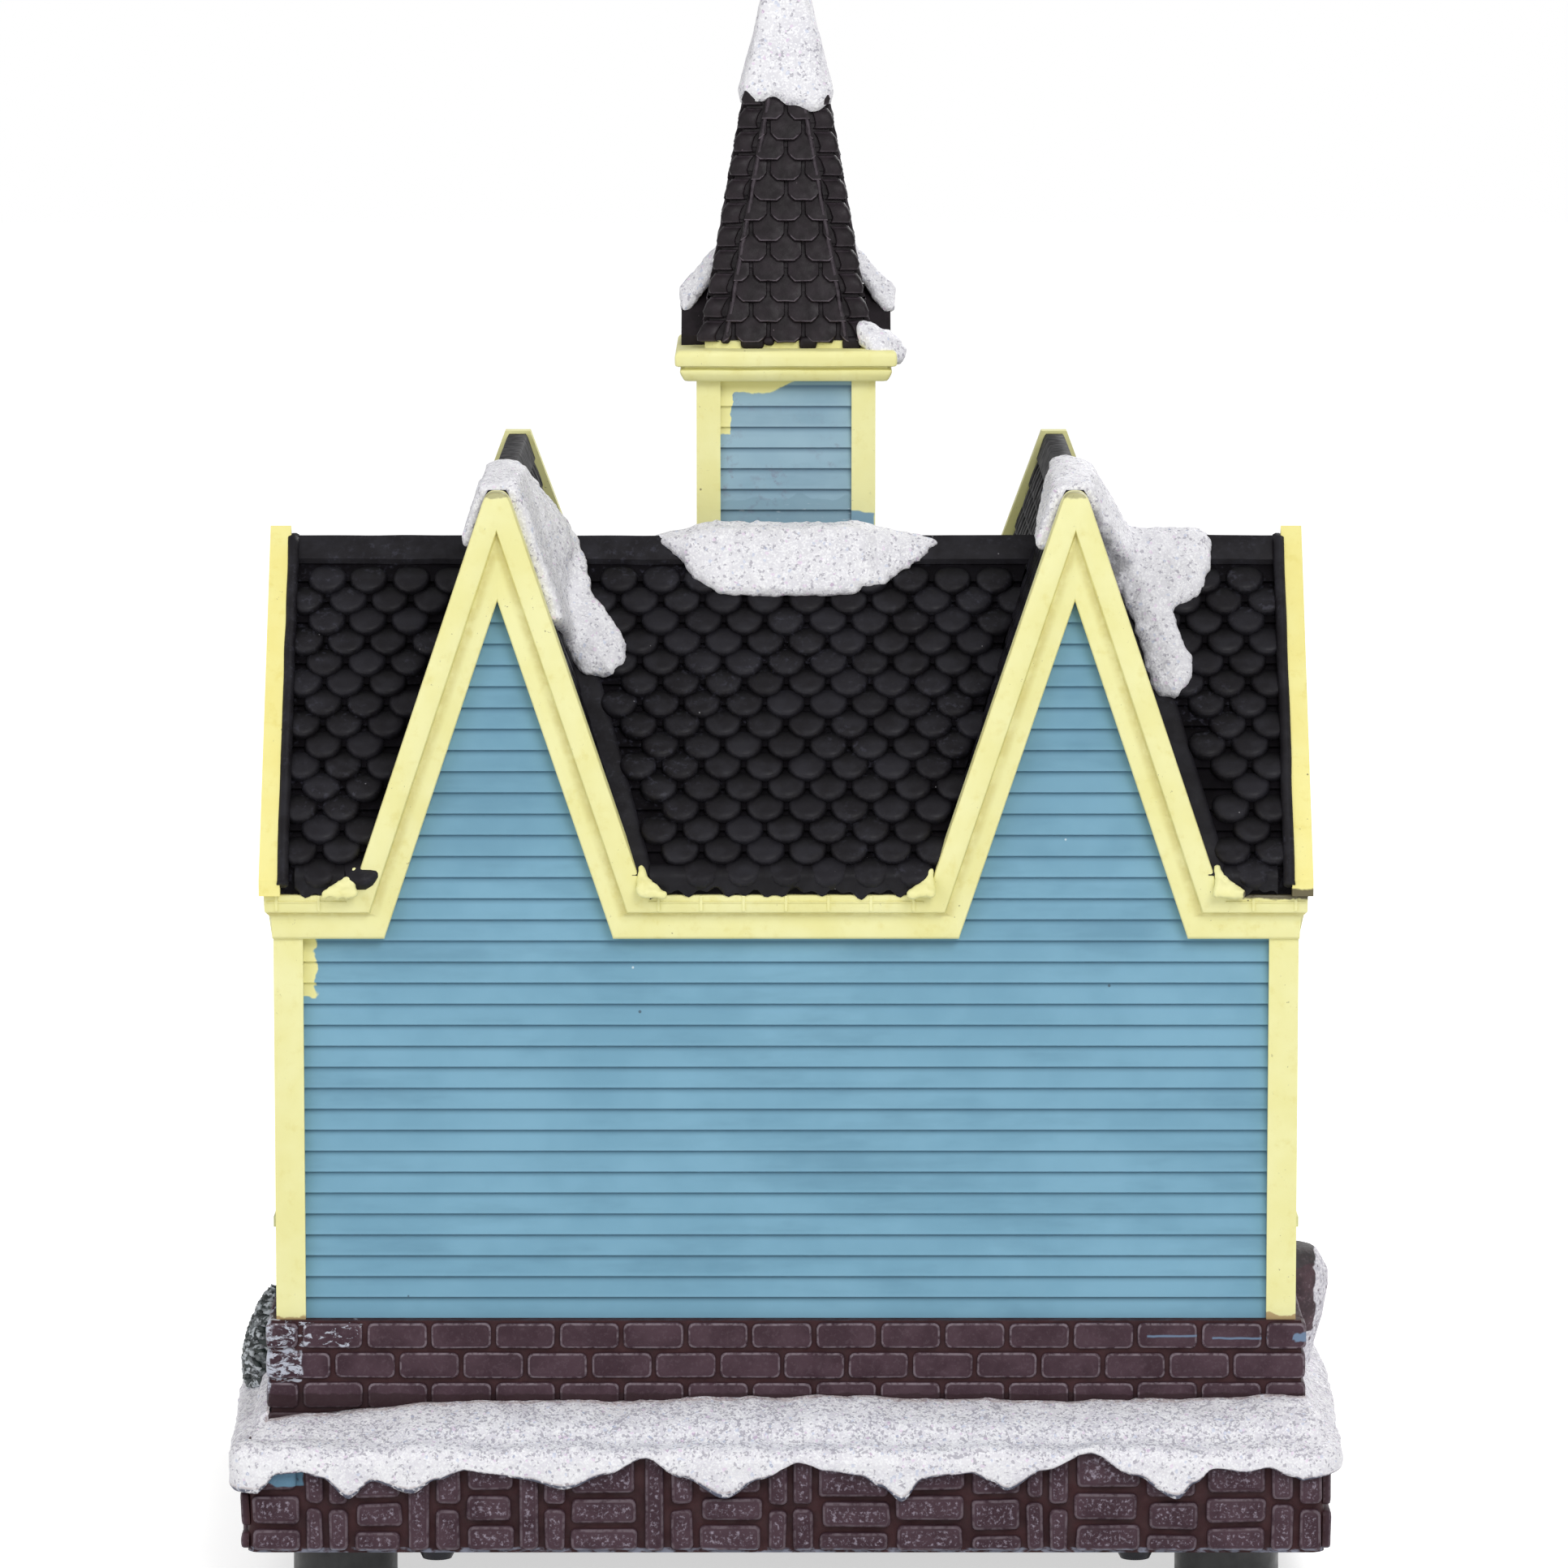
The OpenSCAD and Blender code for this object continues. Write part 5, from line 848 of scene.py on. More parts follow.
TILE_W, TILE_L, TILE_PITCH, TILE_ROW = 4.6, 5.2, 5.1, 2.98
HIP_CLEAR, HIP_WIDE, HIP_PITCH, HIP_LONG = 2.7, 2.75, 3.42, 3.1
TAB = tab(TILE_W, TILE_L, 1.0, 0.35, 1.15)
CAP_FOOT = 211.0
spire_h = SPIRE_TOP_Z - SPIRE_Z
face_l = math.hypot(SPIRE_HALF, spire_h)
for turn in range(4):
    a = math.radians(90 * turn)
    rot = np.array([[math.cos(a), -math.sin(a), 0], [math.sin(a), math.cos(a), 0], [0, 0, 1]])
    ev = rot @ np.array([0, SPIRE_HALF / face_l, -spire_h / face_l])
    ew = rot @ np.array([0, spire_h / face_l, SPIRE_HALF / face_l])
    eu = rot @ np.array([1, 0, 0.0])
    tip = np.array([0, TOWER_Y, SPIRE_TOP_Z])
    for row in range(22):
        end = face_l - row * TILE_ROW + 0.4
        start = end - TILE_L
        if SPIRE_TOP_Z - start * spire_h / face_l > CAP_FOOT + 3.0:
            continue
        for k in range(-4, 5):
            u = (k + 0.5 * (row % 2)) * TILE_PITCH

            def clip(t, u=u, start=start):
                lim = np.maximum((start + t[:, 1]) * SPIRE_HALF / face_l - HIP_CLEAR, 0.05)
                t[:, 0] = np.clip(u + t[:, 0], -lim, lim) - u
                return t

            if abs(u) - 2.4 > end * SPIRE_HALF / face_l - HIP_CLEAR:
                continue
            tiles.place(TAB, tip + ev * start + eu * u + ew * (-0.3 + jitter(0.05)), eu, ev, ew, rnd.random(), clip)
# Tiles along the four hips, the two lowest flared, and the thin beads inside them
for sx in (1, -1):
    for sy in (1, -1):
        for k in range(19):
            z0 = SPIRE_Z - 0.2 + k * HIP_PITCH
            z1 = z0 + HIP_LONG
            if z1 > CAP_FOOT + 3.0:
                continue
            flare = 0.35 + (0.55, 0.2, 0.0)[min(k, 2)]
            rings, edge = [], []
            for t, grow in ((0.0, -0.65), (0.06, 0.0), (0.3, 0.4), (0.7, 0.36), (0.94, 0.0), (1.0, -0.6)):
                z = z0 + (z1 - z0) * t
                out = spire_half(z) + 0.2 + flare * (1 - t) + grow + jitter(0.03)
                ring = rounded_rect(out - HIP_WIDE, out, out - HIP_WIDE, out, 0.55, 2)
                rings.append(np.column_stack([sx * ring[:, 0], TOWER_Y + sy * ring[:, 1], np.full(len(ring), z)]))
                edge += [0.75 if t in (0.06, 0.94) else 0.25] * len(ring)
            tiles.add(*loft(rings), edge, rnd.random())
        for flip in (1, -1):
            rings = []
            for k in range(40):
                z = SPIRE_Z + 0.3 + (CAP_FOOT + 1.0 - SPIRE_Z) * k / 39
                across, out = spire_half(z) - 3.1, spire_half(z) + 0.45
                ring = []
                for t in (2 * math.pi * j / 6 for j in range(6)):
                    x, y = (across + 0.32 * math.cos(t), out + 0.32 * math.sin(t))[::flip]
                    ring.append((sx * x, TOWER_Y + sy * y, z))
                rings.append(np.array(ring))
            tiles.add(*loft(rings), 0.75, 0.5)
tiles.make("spire_tiles", SPIRE, "spire_tile", smooth=45, rough=0.07)

# Black paint of the spire that runs over its strip
drops = Parts()
for x, width, drop in (
        (4.9, 3.4, 1.3), (2.5, 1.6, 0.8), (-3.2, 2.6, 1.4), (-9.6, 2.6, 1.6), (8.8, 1.4, 0.5), (-6.4, 1.2, 0.4)):
    ring = rounded_rect(x - width / 2, x + width / 2, -drop, 0.5, 0.7, 4)
    middle = ring.mean(0)
    rings = []
    for share, stand in ((1.0, -0.2), (1.0, 0.35), (0.8, 0.6), (0.4, 0.72)):
        p = middle + (ring - middle) * share
        rings.append(np.column_stack([p[:, 0], np.full(len(p), TOWER_Y + SPIRE_HALF + stand), SPIRE_Z + p[:, 1]]))
    drops.add(*loft(rings), 0.0, 0.5)
drops.make("spire_paint_drops", SPIRE, "spire_tile", smooth=180, rough=0.12)

# ---------------------------------------------------------------- trim of the rear wall
def trim_ring(inset, y, end_x):
    """The trim's outline at a distance in from its outer edge, from -X to +X."""
    z = EAVE_Z - float(np.interp(inset, [0, 3.15, 3.6, 5.1, 6.8], [0, 2.4, 2.8, 3.5, 6.6]))
    top = min(PEAK_Z - 0.9 * inset, APEX_Z - inset / GABLE_LEAN)
    half_top = max(gable_half(top) - inset, 0.002)
    foot = gable_half(z) - inset
    ring = [(-end_x, y, z)]
    blunt = 1.1 * half_top / max(gable_half(PEAK_Z), 0.1)
    for centre in (-GABLE_X, GABLE_X):
        shares = np.linspace(0, 1 - blunt * 1.6 / (top - z), 13)
        leg = [(foot + (half_top - foot) * t, z + (top - z) * t) for t in shares]
        bend = []
        for t in np.linspace(0.2, 1, 5):
            a, b, c = np.array(leg[-1]), np.array((half_top, top)), np.array((max(half_top - blunt, 0.001), top))
            bend.append(tuple(a * (1 - t) ** 2 + b * 2 * t * (1 - t) + c * t * t))
        leg += bend
        ring += [(centre - a, y, b) for a, b in leg]
        ring += [(centre + a, y, b) for a, b in reversed(leg)]
    ring.append((end_x, y, z))
    return ring


# Sections of the rear trim: distance in from the outer edge, y, end of the frieze, and how far it is an edge, which
# sets the painted shade in the cove
TRIM_FACE = 52.08
TRIM_PROFILE = (
    (0.0, 48.45, 74.4, 0.2), (0.0, 51.7, 74.4, 0.5), (0.1, 51.98, 74.4, 0.7), (0.4, 52.1, 74.3, 0.1),
    (3.0, TRIM_FACE, 74.3, 0.0), (3.3, 51.95, 74.2, 0.15), (3.45, 51.6, 74.2, 0.8), (3.5, 51.2, 74.1, 0.95),
    (3.62, 50.98, 74.1, 0.9), (3.85, 50.95, 74.0, 0.85), (4.3, 50.72, 73.8, 0.7), (4.9, 50.55, 73.5, 0.45),
    (5.4, 50.5, 73.4, 0.1), (6.35, 50.5, 73.3, 0.0), (6.65, 50.4, 73.3, 0.3), (6.8, 50.15, 73.3, 0.5),
    (6.8, 48.45, 73.3, 0.3))
trim = Parts()
rings = [np.array(trim_ring(*row[:3])) for row in TRIM_PROFILE]
n = len(rings[0])
verts = np.concatenate(rings)
faces = [(a * n + k, a * n + k + 1, (a + 1) * n + k + 1, (a + 1) * n + k)
         for a in range(len(rings) - 1) for k in range(n - 1)]
last = (len(rings) - 1) * n
faces += [(k + 1, k, last + k, last + k + 1) for k in range(n - 1)]
faces += [tuple(a * n for a in range(len(rings))), tuple(a * n + n - 1 for a in reversed(range(len(rings))))]
verts[:, 1] += 0.07 * noise3(verts * [1, 0, 1], 7.0, 81) * (verts[:, 1] > 49)
trim.add(verts, faces, np.repeat([row[3] for row in TRIM_PROFILE], n))


def trim_mark(x0, x1, z0, z1, radius, high, soft, share):
    """A thin raised mark on the face of the rear trim."""
    t, faces, edge = cushion(x0, x1, z0, z1, radius, -0.2, high, 0.0, soft)
    trim.add(np.column_stack([t[:, 0], TRIM_FACE + t[:, 2], t[:, 1]]), faces, edge * share)


# The thin bead and the ticks on the upper strip of the frieze
for x0, x1 in ((-19.6, 19.6), (62.6, 74.0), (-74.0, -62.6)):
    trim_mark(x0, x1, EAVE_Z - 1.15, EAVE_Z - 0.9, 0.1, 0.16, 0.05, 1.0)
    tick = math.ceil(x0 / BUMP_W) * BUMP_W
    while tick < x1 - 0.6:
        trim_mark(tick - 0.22, tick + 0.22, EAVE_Z - 2.35, EAVE_Z - 0.1, 0.15, 0.17, 0.06, 0.4)
        tick += BUMP_W
trim.make("rear_trim_moulding", TRIM, "trim", replaces=("rear_trim",), smooth=28)

# Cornice of the tower: a leaning lower moulding and a rounded upper one
rings = []
for half, level in (
        (10.0, 0.0), (14.4, 0.0), (14.75, 0.06), (14.95, 0.25), (15.35, 0.95), (15.5, 1.4), (15.45, 1.65),
        (15.15, 1.84), (14.9, 1.88), (14.9, 2.15), (15.8, 2.2), (16.1, 2.32), (16.22, 2.6), (16.24, 3.6),
        (16.14, 4.1), (15.9, 4.45), (15.6, 4.58), (11.9, 4.65), (11.9, 5.6), (11.7, 5.8), (8.0, 5.8)):
    ring = rounded_rect(-half, half, -half, half, 0.35, 3)
    dense = []
    for a, b in zip(ring, np.roll(ring, -1, axis=0)):
        steps = 12 if np.linalg.norm(b - a) > 5 else 1
        dense += [a + (b - a) * j / steps for j in range(steps)]
    rings.append(at_level(np.array(dense) + [0, TOWER_Y], CORNICE_Z + level))
verts, faces = loft(rings, caps=False)
n = len(rings[0])
faces += [((len(rings) - 1) * n + k, (len(rings) - 1) * n + (k + 1) % n, (k + 1) % n, k) for k in range(n)]
verts[:, 2] += 0.06 * noise3(verts, 6.0, 83)
make("tower_cornice_moulding", verts, faces, TRIM, "trim", replaces=("tower_cornice",), smooth=32)

# ---------------------------------------------------------------- bricks and stones
def faced(parts, x0, x1, z0, z1, start, direction, normal, radius, high, crown, soft, rand):
    """Adds a block to an upright face that runs from start."""
    t, faces, edge = cushion(x0, x1, z0, z1, radius, -0.3, high, crown, soft)
    verts = np.asarray(start) + np.outer(t[:, 0], direction) + np.outer(t[:, 2], normal)
    verts[:, 2] = t[:, 1]
    parts.add(verts, faces, edge, rand)


bricks = Parts()
base_out = PLINTH_OUT - RELIEF
wing_wide, wing_long = 2 * (WING_HALF + PLINTH_OUT), FRONT_Y - WING_Y
side_from = FRONT_Y - 2.0
side_long = PLINTH_REAR - side_from
BRICK_L, BRICK_H, LAST_H, COURSE, JOINT = 9.22, 3.7, 2.6, 4.35, 0.32
FIRST_JOINTS = 4.9, 9.5
# Faces of the plinth: where each starts, its direction, its outward direction and its length
plinth_faces = [
    ((PLINTH_X, REAR_Y + base_out), (-1, 0), (0, 1), 2 * PLINTH_X),
    ((SIDE_X + base_out, side_from), (0, 1), (1, 0), side_long),
    ((-SIDE_X - base_out, PLINTH_REAR), (0, -1), (-1, 0), side_long)]
for s in (1, -1):
    x_low, x_high = s * GABLE_X - wing_wide / 2, s * GABLE_X + wing_wide / 2
    plinth_faces += [
        ((x_low, WING_Y - base_out), (1, 0), (0, -1), wing_wide),
        ((x_high - RELIEF, PLINTH_FRONT), (0, 1), (1, 0), wing_long),
        ((x_low + RELIEF, PLINTH_FRONT + wing_long), (0, -1), (-1, 0), wing_long)]
tower_out = TOWER_HALF + PLINTH_OUT
plinth_faces += [((-tower_out, TOWER_Y - TOWER_HALF - base_out), (1, 0), (0, -1), 2 * tower_out)]
for (sx, sy), (dx, dy), (nx, ny), length in plinth_faces:
    for c in range(4):
        z1 = WALL_Z - 0.3 - c * COURSE
        z0 = z1 - (BRICK_H if c < 3 else LAST_H)
        joint_at = FIRST_JOINTS[c % 2]
        stops = [0.0]
        while joint_at < length - 1.5:
            stops.append(joint_at)
            joint_at += BRICK_L
        stops.append(length)
        for a, b in zip(stops[:-1], stops[1:]):
            x0 = a + (JOINT if a > 0 else 0.0) + jitter(0.05)
            x1 = b - (JOINT if b < length else 0.0) + jitter(0.05)
            faced(bricks, x0, x1, z0 + jitter(0.06), z1 + jitter(0.06), (sx, sy, 0), (dx, dy, 0), (nx, ny, 0),
                  0.85, RELIEF + jitter(0.05), 0.1, 0.32, rnd.random())


def make_blocks(name, parts, body, material, slot, node, shake, size, seed):
    """The blocks in parts, slightly uneven, on a plain body from which the raised value tells them apart."""
    body_verts, body_faces = body
    blocks, edge, n = np.concatenate(parts.verts), np.concatenate(parts.edge), len(body_verts)
    moved = blocks.copy()
    for axis in range(3):
        moved[:, axis] += shake * noise3(blocks, size, seed + axis)
    attrs = {
        "edge": np.concatenate([edge, np.zeros(n)]),
        "raised": np.concatenate([edge != 0.2, np.zeros(n)]),
        "rand": np.concatenate(parts.rand + [np.full(n, 0.5)])}
    faces = parts.faces + [tuple(k + parts.count for k in f) for f in body_faces]
    make(name, np.concatenate([moved, body_verts]), faces, material, slot, (node,), attrs, 50)


g = base_out
half_plan = [
    (TOWER_HALF + g, TOWER_Y - TOWER_HALF - g), (TOWER_HALF + g, FRONT_Y - g), (GABLE_X - WING_HALF - g, FRONT_Y - g),
    (GABLE_X - WING_HALF - g, WING_Y - g), (GABLE_X + WING_HALF + g, WING_Y - g),
    (GABLE_X + WING_HALF + g, FRONT_Y - g), (SIDE_X + g, FRONT_Y - g), (SIDE_X + g, REAR_Y + g)]
plan = [(-x, y) for x, y in reversed(half_plan)] + half_plan
body = loft([at_level(plan, DECK_Z), at_level(plan, WALL_Z)])
make_blocks("foundation_bricks", bricks, body, BRICK, "brick", "foundation", 0.06, 1.6, 41)

stones = Parts()
stone_rnd = random.Random(23)
skirt_h = DECK_Z - SKIRT_Z
# How far the top stones reach up behind the snow, and the gaps round a stone
TOP_UP, GAP_X, GAP_Z = 2.4, 0.45, 0.42
for side in range(4):
    half_len = (BASE_X if side % 2 == 0 else BASE_Y) - 1.2
    depth = (BASE_Y if side % 2 == 0 else BASE_X) - STONE_RELIEF
    a = math.radians(90 * side)
    direction = np.array([math.cos(a), math.sin(a), 0])
    normal = np.array([math.sin(a), -math.cos(a), 0])
    start = normal * depth - direction * half_len
    x, kind, length = 0.0, 0, 2 * half_len
    while x < length - 0.5:
        # a column of three stones (0 and 4), two uneven columns (1 and 3), or one stone under two (2)
        kind = stone_rnd.choice([0, 1, 2, 3, 4]) if kind not in (1, 3) else stone_rnd.choice([0, 2, 4])
        cells = []
        if kind in (0, 4):
            w = stone_rnd.uniform(7.5, 11.5)
            split = sorted([stone_rnd.uniform(3.0, 4.6), stone_rnd.uniform(7.6, 9.2)])
            levels = [0] + split + [skirt_h]
            for lo, hi in zip(levels[:-1], levels[1:]):
                off = stone_rnd.uniform(-0.5, 0.5)
                cells.append((max(off, 0), w + min(off, 0), lo, hi))
        elif kind in (1, 3):
            w = stone_rnd.uniform(6.6, 8.4)
            cut, part = stone_rnd.uniform(0.4, 0.6) * skirt_h, w * 0.48
            cells = [(0, part, 0, skirt_h)]
            if stone_rnd.random() >= 0.4:
                cells = [(0, part, 0, cut), (0, part, cut, skirt_h)]
            cells += [(part, w, 0, skirt_h * 0.52), (part, w, skirt_h * 0.52, skirt_h)]
        else:
            w = stone_rnd.uniform(6.5, 9.0)
            cut, part = stone_rnd.uniform(4.8, 7.2), w * 0.62
            cells = [(0, w, 0, cut), (0, part, cut, skirt_h), (part, w, cut, skirt_h)]
        w = min(w, length - x)
        for x0, x1, lo, hi in cells:
            x1 = min(x1, w)
            if x1 - x0 < 1.4:
                continue
            hi += TOP_UP if hi > skirt_h - 0.01 else 0.0
            faced(stones, x + x0 + GAP_X, x + x1 - GAP_X, SKIRT_Z + lo + GAP_Z, SKIRT_Z + hi - GAP_Z, start,
                  direction, normal, 0.75, 0.8 + stone_rnd.uniform(0, 0.14), 0.14, 0.4, stone_rnd.random())
        x += w
body_rings = []
for inset, radius, z in ((2.8, 1.2, DECK_Z - 2), (2.8, 1.2, SKIRT_Z), (STONE_RELIEF, 2.0, SKIRT_Z),
                         (STONE_RELIEF, 2.0, DECK_Z + TOP_UP), (2.6, 1.4, DECK_Z + TOP_UP), (2.6, 1.4, DECK_Z)):
    x, y = BASE_X - inset, BASE_Y - inset
    body_rings.append(at_level(rounded_rect(-x, x, -y, y, radius, 6), z))
make_blocks("base_stones", stones, loft(body_rings), STONE, "base_brick", "base_shell", 0.2, 2.2, 51)

# ---------------------------------------------------------------- snow over the base
# Lower edge of the snow at the rear: share of the length from the +X end, and depth below the deck
DRIPS = [
    (0.0, 3.6), (0.018, 1.2), (0.039, 0.9), (0.06, 1.8), (0.085, 4.8), (0.107, 2.2), (0.145, 4.0), (0.17, 2.0),
    (0.195, 0.7), (0.22, 1.2), (0.252, 2.0), (0.29, 3.4), (0.33, 1.2), (0.366, -1.1), (0.4, 1.6), (0.442, 4.7),
    (0.475, 2.0), (0.511, -0.4), (0.54, 0.7), (0.572, 1.4), (0.59, 2.9), (0.61, 5.2), (0.63, 1.9), (0.655, 1.3),
    (0.678, 1.0), (0.695, 2.2), (0.709, 3.5), (0.745, 0.6), (0.788, -2.0), (0.83, 1.2), (0.872, 4.8), (0.889, 2.4),
    (0.906, 0.3), (0.935, 0.9), (0.96, 0.3), (0.982, 1.5), (1.0, 2.8)]
drip_at, drip_by = np.array(DRIPS).T


def drip(share):
    """Depth of the lip at a share of the rear, smooth between the points of DRIPS."""
    i = int(np.clip(np.searchsorted(drip_at, share) - 1, 0, len(DRIPS) - 2))
    t = (share - drip_at[i]) / (drip_at[i + 1] - drip_at[i])
    t = t * t * (3 - 2 * t)
    return drip_by[i] * (1 - t) + drip_by[i + 1] * t


def edge_path(x, y, r, count):
    """Points and outward directions round a rectangle with round corners, from (+x, -y)."""
    points = []
    straight = [(side, 2 * ((y if side % 2 == 0 else x) - r)) for side in range(4)]
    arc = math.pi * r / 2
    total = sum(s for _, s in straight) + 4 * arc
    for k in range(count):
        d = total * k / count
        for side, s in straight:
            a0 = math.radians(90 * side)
            if d <= s:
                dirv = np.array([math.cos(a0 + math.pi / 2), math.sin(a0 + math.pi / 2)])
                out = np.array([math.cos(a0), math.sin(a0)])
                across = x if side % 2 == 0 else y
                p = out * across + dirv * (d - s / 2)
                points.append((p, out, side, d / s))
                break
            d -= s
            if d <= arc:
                a = a0 + d / r
                out = np.array([math.cos(a), math.sin(a)])
                a1 = a0 + math.pi / 4
                cx = (x - r) * (1 if math.cos(a1) > 0 else -1)
                cy = (y - r) * (1 if math.sin(a1) > 0 else -1)
                points.append((np.array([cx, cy]) + out * r, out, side, 1.0))
                break
            d -= arc
    return points


COUNT = 1180
HALF_DEPTH = 64.1
BANK_UP, CORNER_DIP, DIP_WIDE, CREST_UP = 7.3, 3.7, 36.0, 3.1
path = edge_path(BASE_X, BASE_Y, 3.0, COUNT)


def lip_depth(side, share):
    """How far the lip hangs below the deck. Side 1 is the rear, from +x to -x."""
    if side == 1:
        return 2.8 if share >= 1.0 else drip(share)
    depth = max(drip((share * (1.0 if side == 3 else 0.8) + side * 0.37) % 1.0), -0.6)
    if side == 0 and share > 0.94:
        depth += (4.0 - depth) * min(1.0, (share - 0.94) / 0.06)
    return depth


depths = np.array([lip_depth(side, share) for _, _, side, share in path])
# Jumps where two sides meet are eased over a few points
for k in np.flatnonzero(abs(np.roll(depths, -1) - depths) > 1.0):
    around = np.arange(k - 12, k + 14) % COUNT
    depths[around] = np.linspace(depths[around[0]], depths[around[-1]], len(around))
# Rings of the bank: from the plinth outward over the top, round the lip and back under it
rings = []
for (p, out, side, share), depth in zip(path, depths):
    q = np.array([
        np.clip(p[0], -PLINTH_X + 0.3, PLINTH_X - 0.3), np.clip(p[1], PLINTH_FRONT + 0.3, PLINTH_REAR - 0.3)])
    reach = 1.55 + 1.5 * abs(out[0]) * math.cos(math.pi / 2 * p[1] / HALF_DEPTH) ** 2
    wobble = 0.55 * math.sin(p[0] * 0.31 + p[1] * 0.17) + 0.4 * math.sin(p[0] * 0.77 - p[1] * 0.43)
    bank = DECK_Z + BANK_UP + 0.35 * math.sin(p[0] * 0.09 + p[1] * 0.13) + 0.25 * wobble
    bank -= CORNER_DIP * max(0.0, 1.0 - math.hypot(p[0] - BASE_X, p[1] - BASE_Y) / DIP_WIDE) ** 1.1
    crest = DECK_Z + CREST_UP + 0.3 * wobble
    low = DECK_Z - depth
    ring = [(*(q + (p - q) * t), z) for t, z in (
        (0.0, bank - 3.0), (0.0, bank), (0.12, bank - 0.1), (0.3, bank - 0.55), (0.5, bank - 1.3), (0.68, bank - 2.2),
        (0.84, crest - 0.1))]
    top = max(crest - 2.5, min(low + 0.9, crest - 0.3))
    ring += [(*(p + out * reach * o), crest + (top - crest) * t) for o, t in ((0.35, 0.3), (0.75, 0.6), (1.0, 1.0))]
    ring += [(*(p + out * reach * o), top + (low - top) * t) for t, o in (
        (0.3, 1.0), (0.6, 0.99), (0.82, 0.93), (0.94, 0.8), (1.0, 0.58), (1.0, 0.3), (0.93, 0.1), (0.8, 0.0))]
    ring += [(*(p - out * 1.7), z) for z in (max(DECK_Z - 1.0, low + 0.25), max(DECK_Z + 0.2, low + 0.5))]
    rings.append(ring)
rings = np.array(rings)
# Finer points along each section, by one round of midpoints
fine = []
for j in range(rings.shape[1]):
    fine.append(rings[:, j])
    if 0 < j < rings.shape[1] - 3:
        fine.append((rings[:, j] + rings[:, j + 1]) / 2)
per = len(fine)
flat = np.stack(fine, axis=1).reshape(-1, 3)
lumps = 0.30 * fbm(flat, 6.0, 11) + 0.20 * noise3(flat, 1.7, 12) + 0.14 * noise3(flat, 0.8, 13)
push = flat - np.column_stack([flat[:, 0] * 0.93, flat[:, 1] * 0.93, np.full(len(flat), DECK_Z - 6.0)])
push /= np.linalg.norm(push, axis=1)[:, None]
column = np.tile(np.arange(per), COUNT)
free = (column > 1) & (column < per - 3)
flat = flat + push * (lumps * free)[:, None]
for axis in range(2):
    flat[:, axis] = np.clip(flat[:, axis], CAD_BOX[0][axis] / MM + 0.02, CAD_BOX[1][axis] / MM - 0.02)
# The rim value: half at the plinth, 1 under the lip's edge and 2 on the hidden underside, which is painted dark as
# shade
rim = np.zeros(per)
rim[1:4] = 0.5
rim[23:25] = 0.4, 0.75
rim[25:33] = 1.0
rim[33:] = 2.0
faces = [(i * per + j, k * per + j, k * per + (j + 1) % per, i * per + (j + 1) % per)
         for i, k in ((i, (i + 1) % COUNT) for i in range(COUNT)) for j in range(per)]
make("snow_bank", flat, faces, SNOW, "snow", ("ground_snow",), {"rim": np.tile(rim, COUNT)}, 180)

# ---------------------------------------------------------------- snow on the roofs, from balls
def icosphere():
    """Vertices and faces of a ball of radius 1."""
    b = bmesh.new()
    bmesh.ops.create_icosphere(b, subdivisions=2, radius=1.0)
    verts = np.array([v.co[:] for v in b.verts])
    faces = [tuple(v.index for v in f.verts) for f in b.faces]
    b.free()
    return verts, faces


BALL = icosphere()


def snow_blob(name, balls, replaces=(), voxel=0.5, seed=3, lump=0.28, material=None, slot="snow"):
    """Joins balls (x, y, z, r) in millimetres into one closed lump, of snow unless a material is given."""
    verts = np.concatenate([BALL[0] * b[3] + np.array(b[:3]) for b in balls])
    faces = [tuple(k + i * len(BALL[0]) for k in f) for i in range(len(balls)) for f in BALL[1]]
    mesh = bpy.data.meshes.new(name + "_balls")
    mesh.from_pydata(verts.tolist(), [], faces)
    obj = bpy.data.objects.new(name + "_balls", mesh)
    bpy.context.scene.collection.objects.link(obj)
    r = obj.modifiers.new("join", "REMESH")
    r.mode = "VOXEL"
    r.voxel_size = voxel
    s = obj.modifiers.new("smooth", "SMOOTH")
    s.factor = 0.5
    s.iterations = 6
    graph = bpy.context.evaluated_depsgraph_get()
    done = bpy.data.meshes.new_from_object(obj.evaluated_get(graph))
    co, nr = np.zeros(len(done.vertices) * 3), np.zeros(len(done.vertices) * 3)
    done.vertices.foreach_get("co", co)
    done.vertices.foreach_get("normal", nr)
    co, nr = co.reshape(-1, 3), nr.reshape(-1, 3)
    rough = lump * fbm(co, 3.5, seed) + 0.16 * noise3(co, 1.1, seed + 1) + 0.1 * noise3(co, 0.6, seed + 2)
    co = co + nr * rough[:, None]
    faces = [tuple(p.vertices) for p in done.polygons]
    bpy.data.objects.remove(obj)
    bpy.data.meshes.remove(mesh)
    bpy.data.meshes.remove(done)
    return make(name, co, faces, material or ROOF_SNOW, slot, replaces=replaces, smooth=180)


def roof_level(x, y):
    """Level of the roofs at a place, far below them where there is none."""
    main = RIDGE_Z - abs(y - RIDGE_Y) * MAIN_SLOPE if RIDGE_Y - MAIN_RUN <= y <= RIDGE_Y + MAIN_RUN else -1e3
    gable = -1e3
    if WING_Y <= y <= REAR_Y:
        gable = min(PEAK_Z, APEX_Z - abs(abs(x) - GABLE_X) / GABLE_LEAN)
    return max(main, gable)


def outline_distance(px, py, poly):
    """Distance from a point to a polygon's edge, positive inside."""
    inside, best = False, 1e9
    n = len(poly)
    for i in range(n):
        x0, y0 = poly[i]
        x1, y1 = poly[(i + 1) % n]
        if (y0 > py) != (y1 > py) and px < (x1 - x0) * (py - y0) / (y1 - y0) + x0:
            inside = not inside
        dx, dy = x1 - x0, y1 - y0
        t = max(0, min(1, ((px - x0) * dx + (py - y0) * dy) / (dx * dx + dy * dy + 1e-12)))
        best = min(best, math.hypot(px - x0 - t * dx, py - y0 - t * dy))
    return best if inside else -best


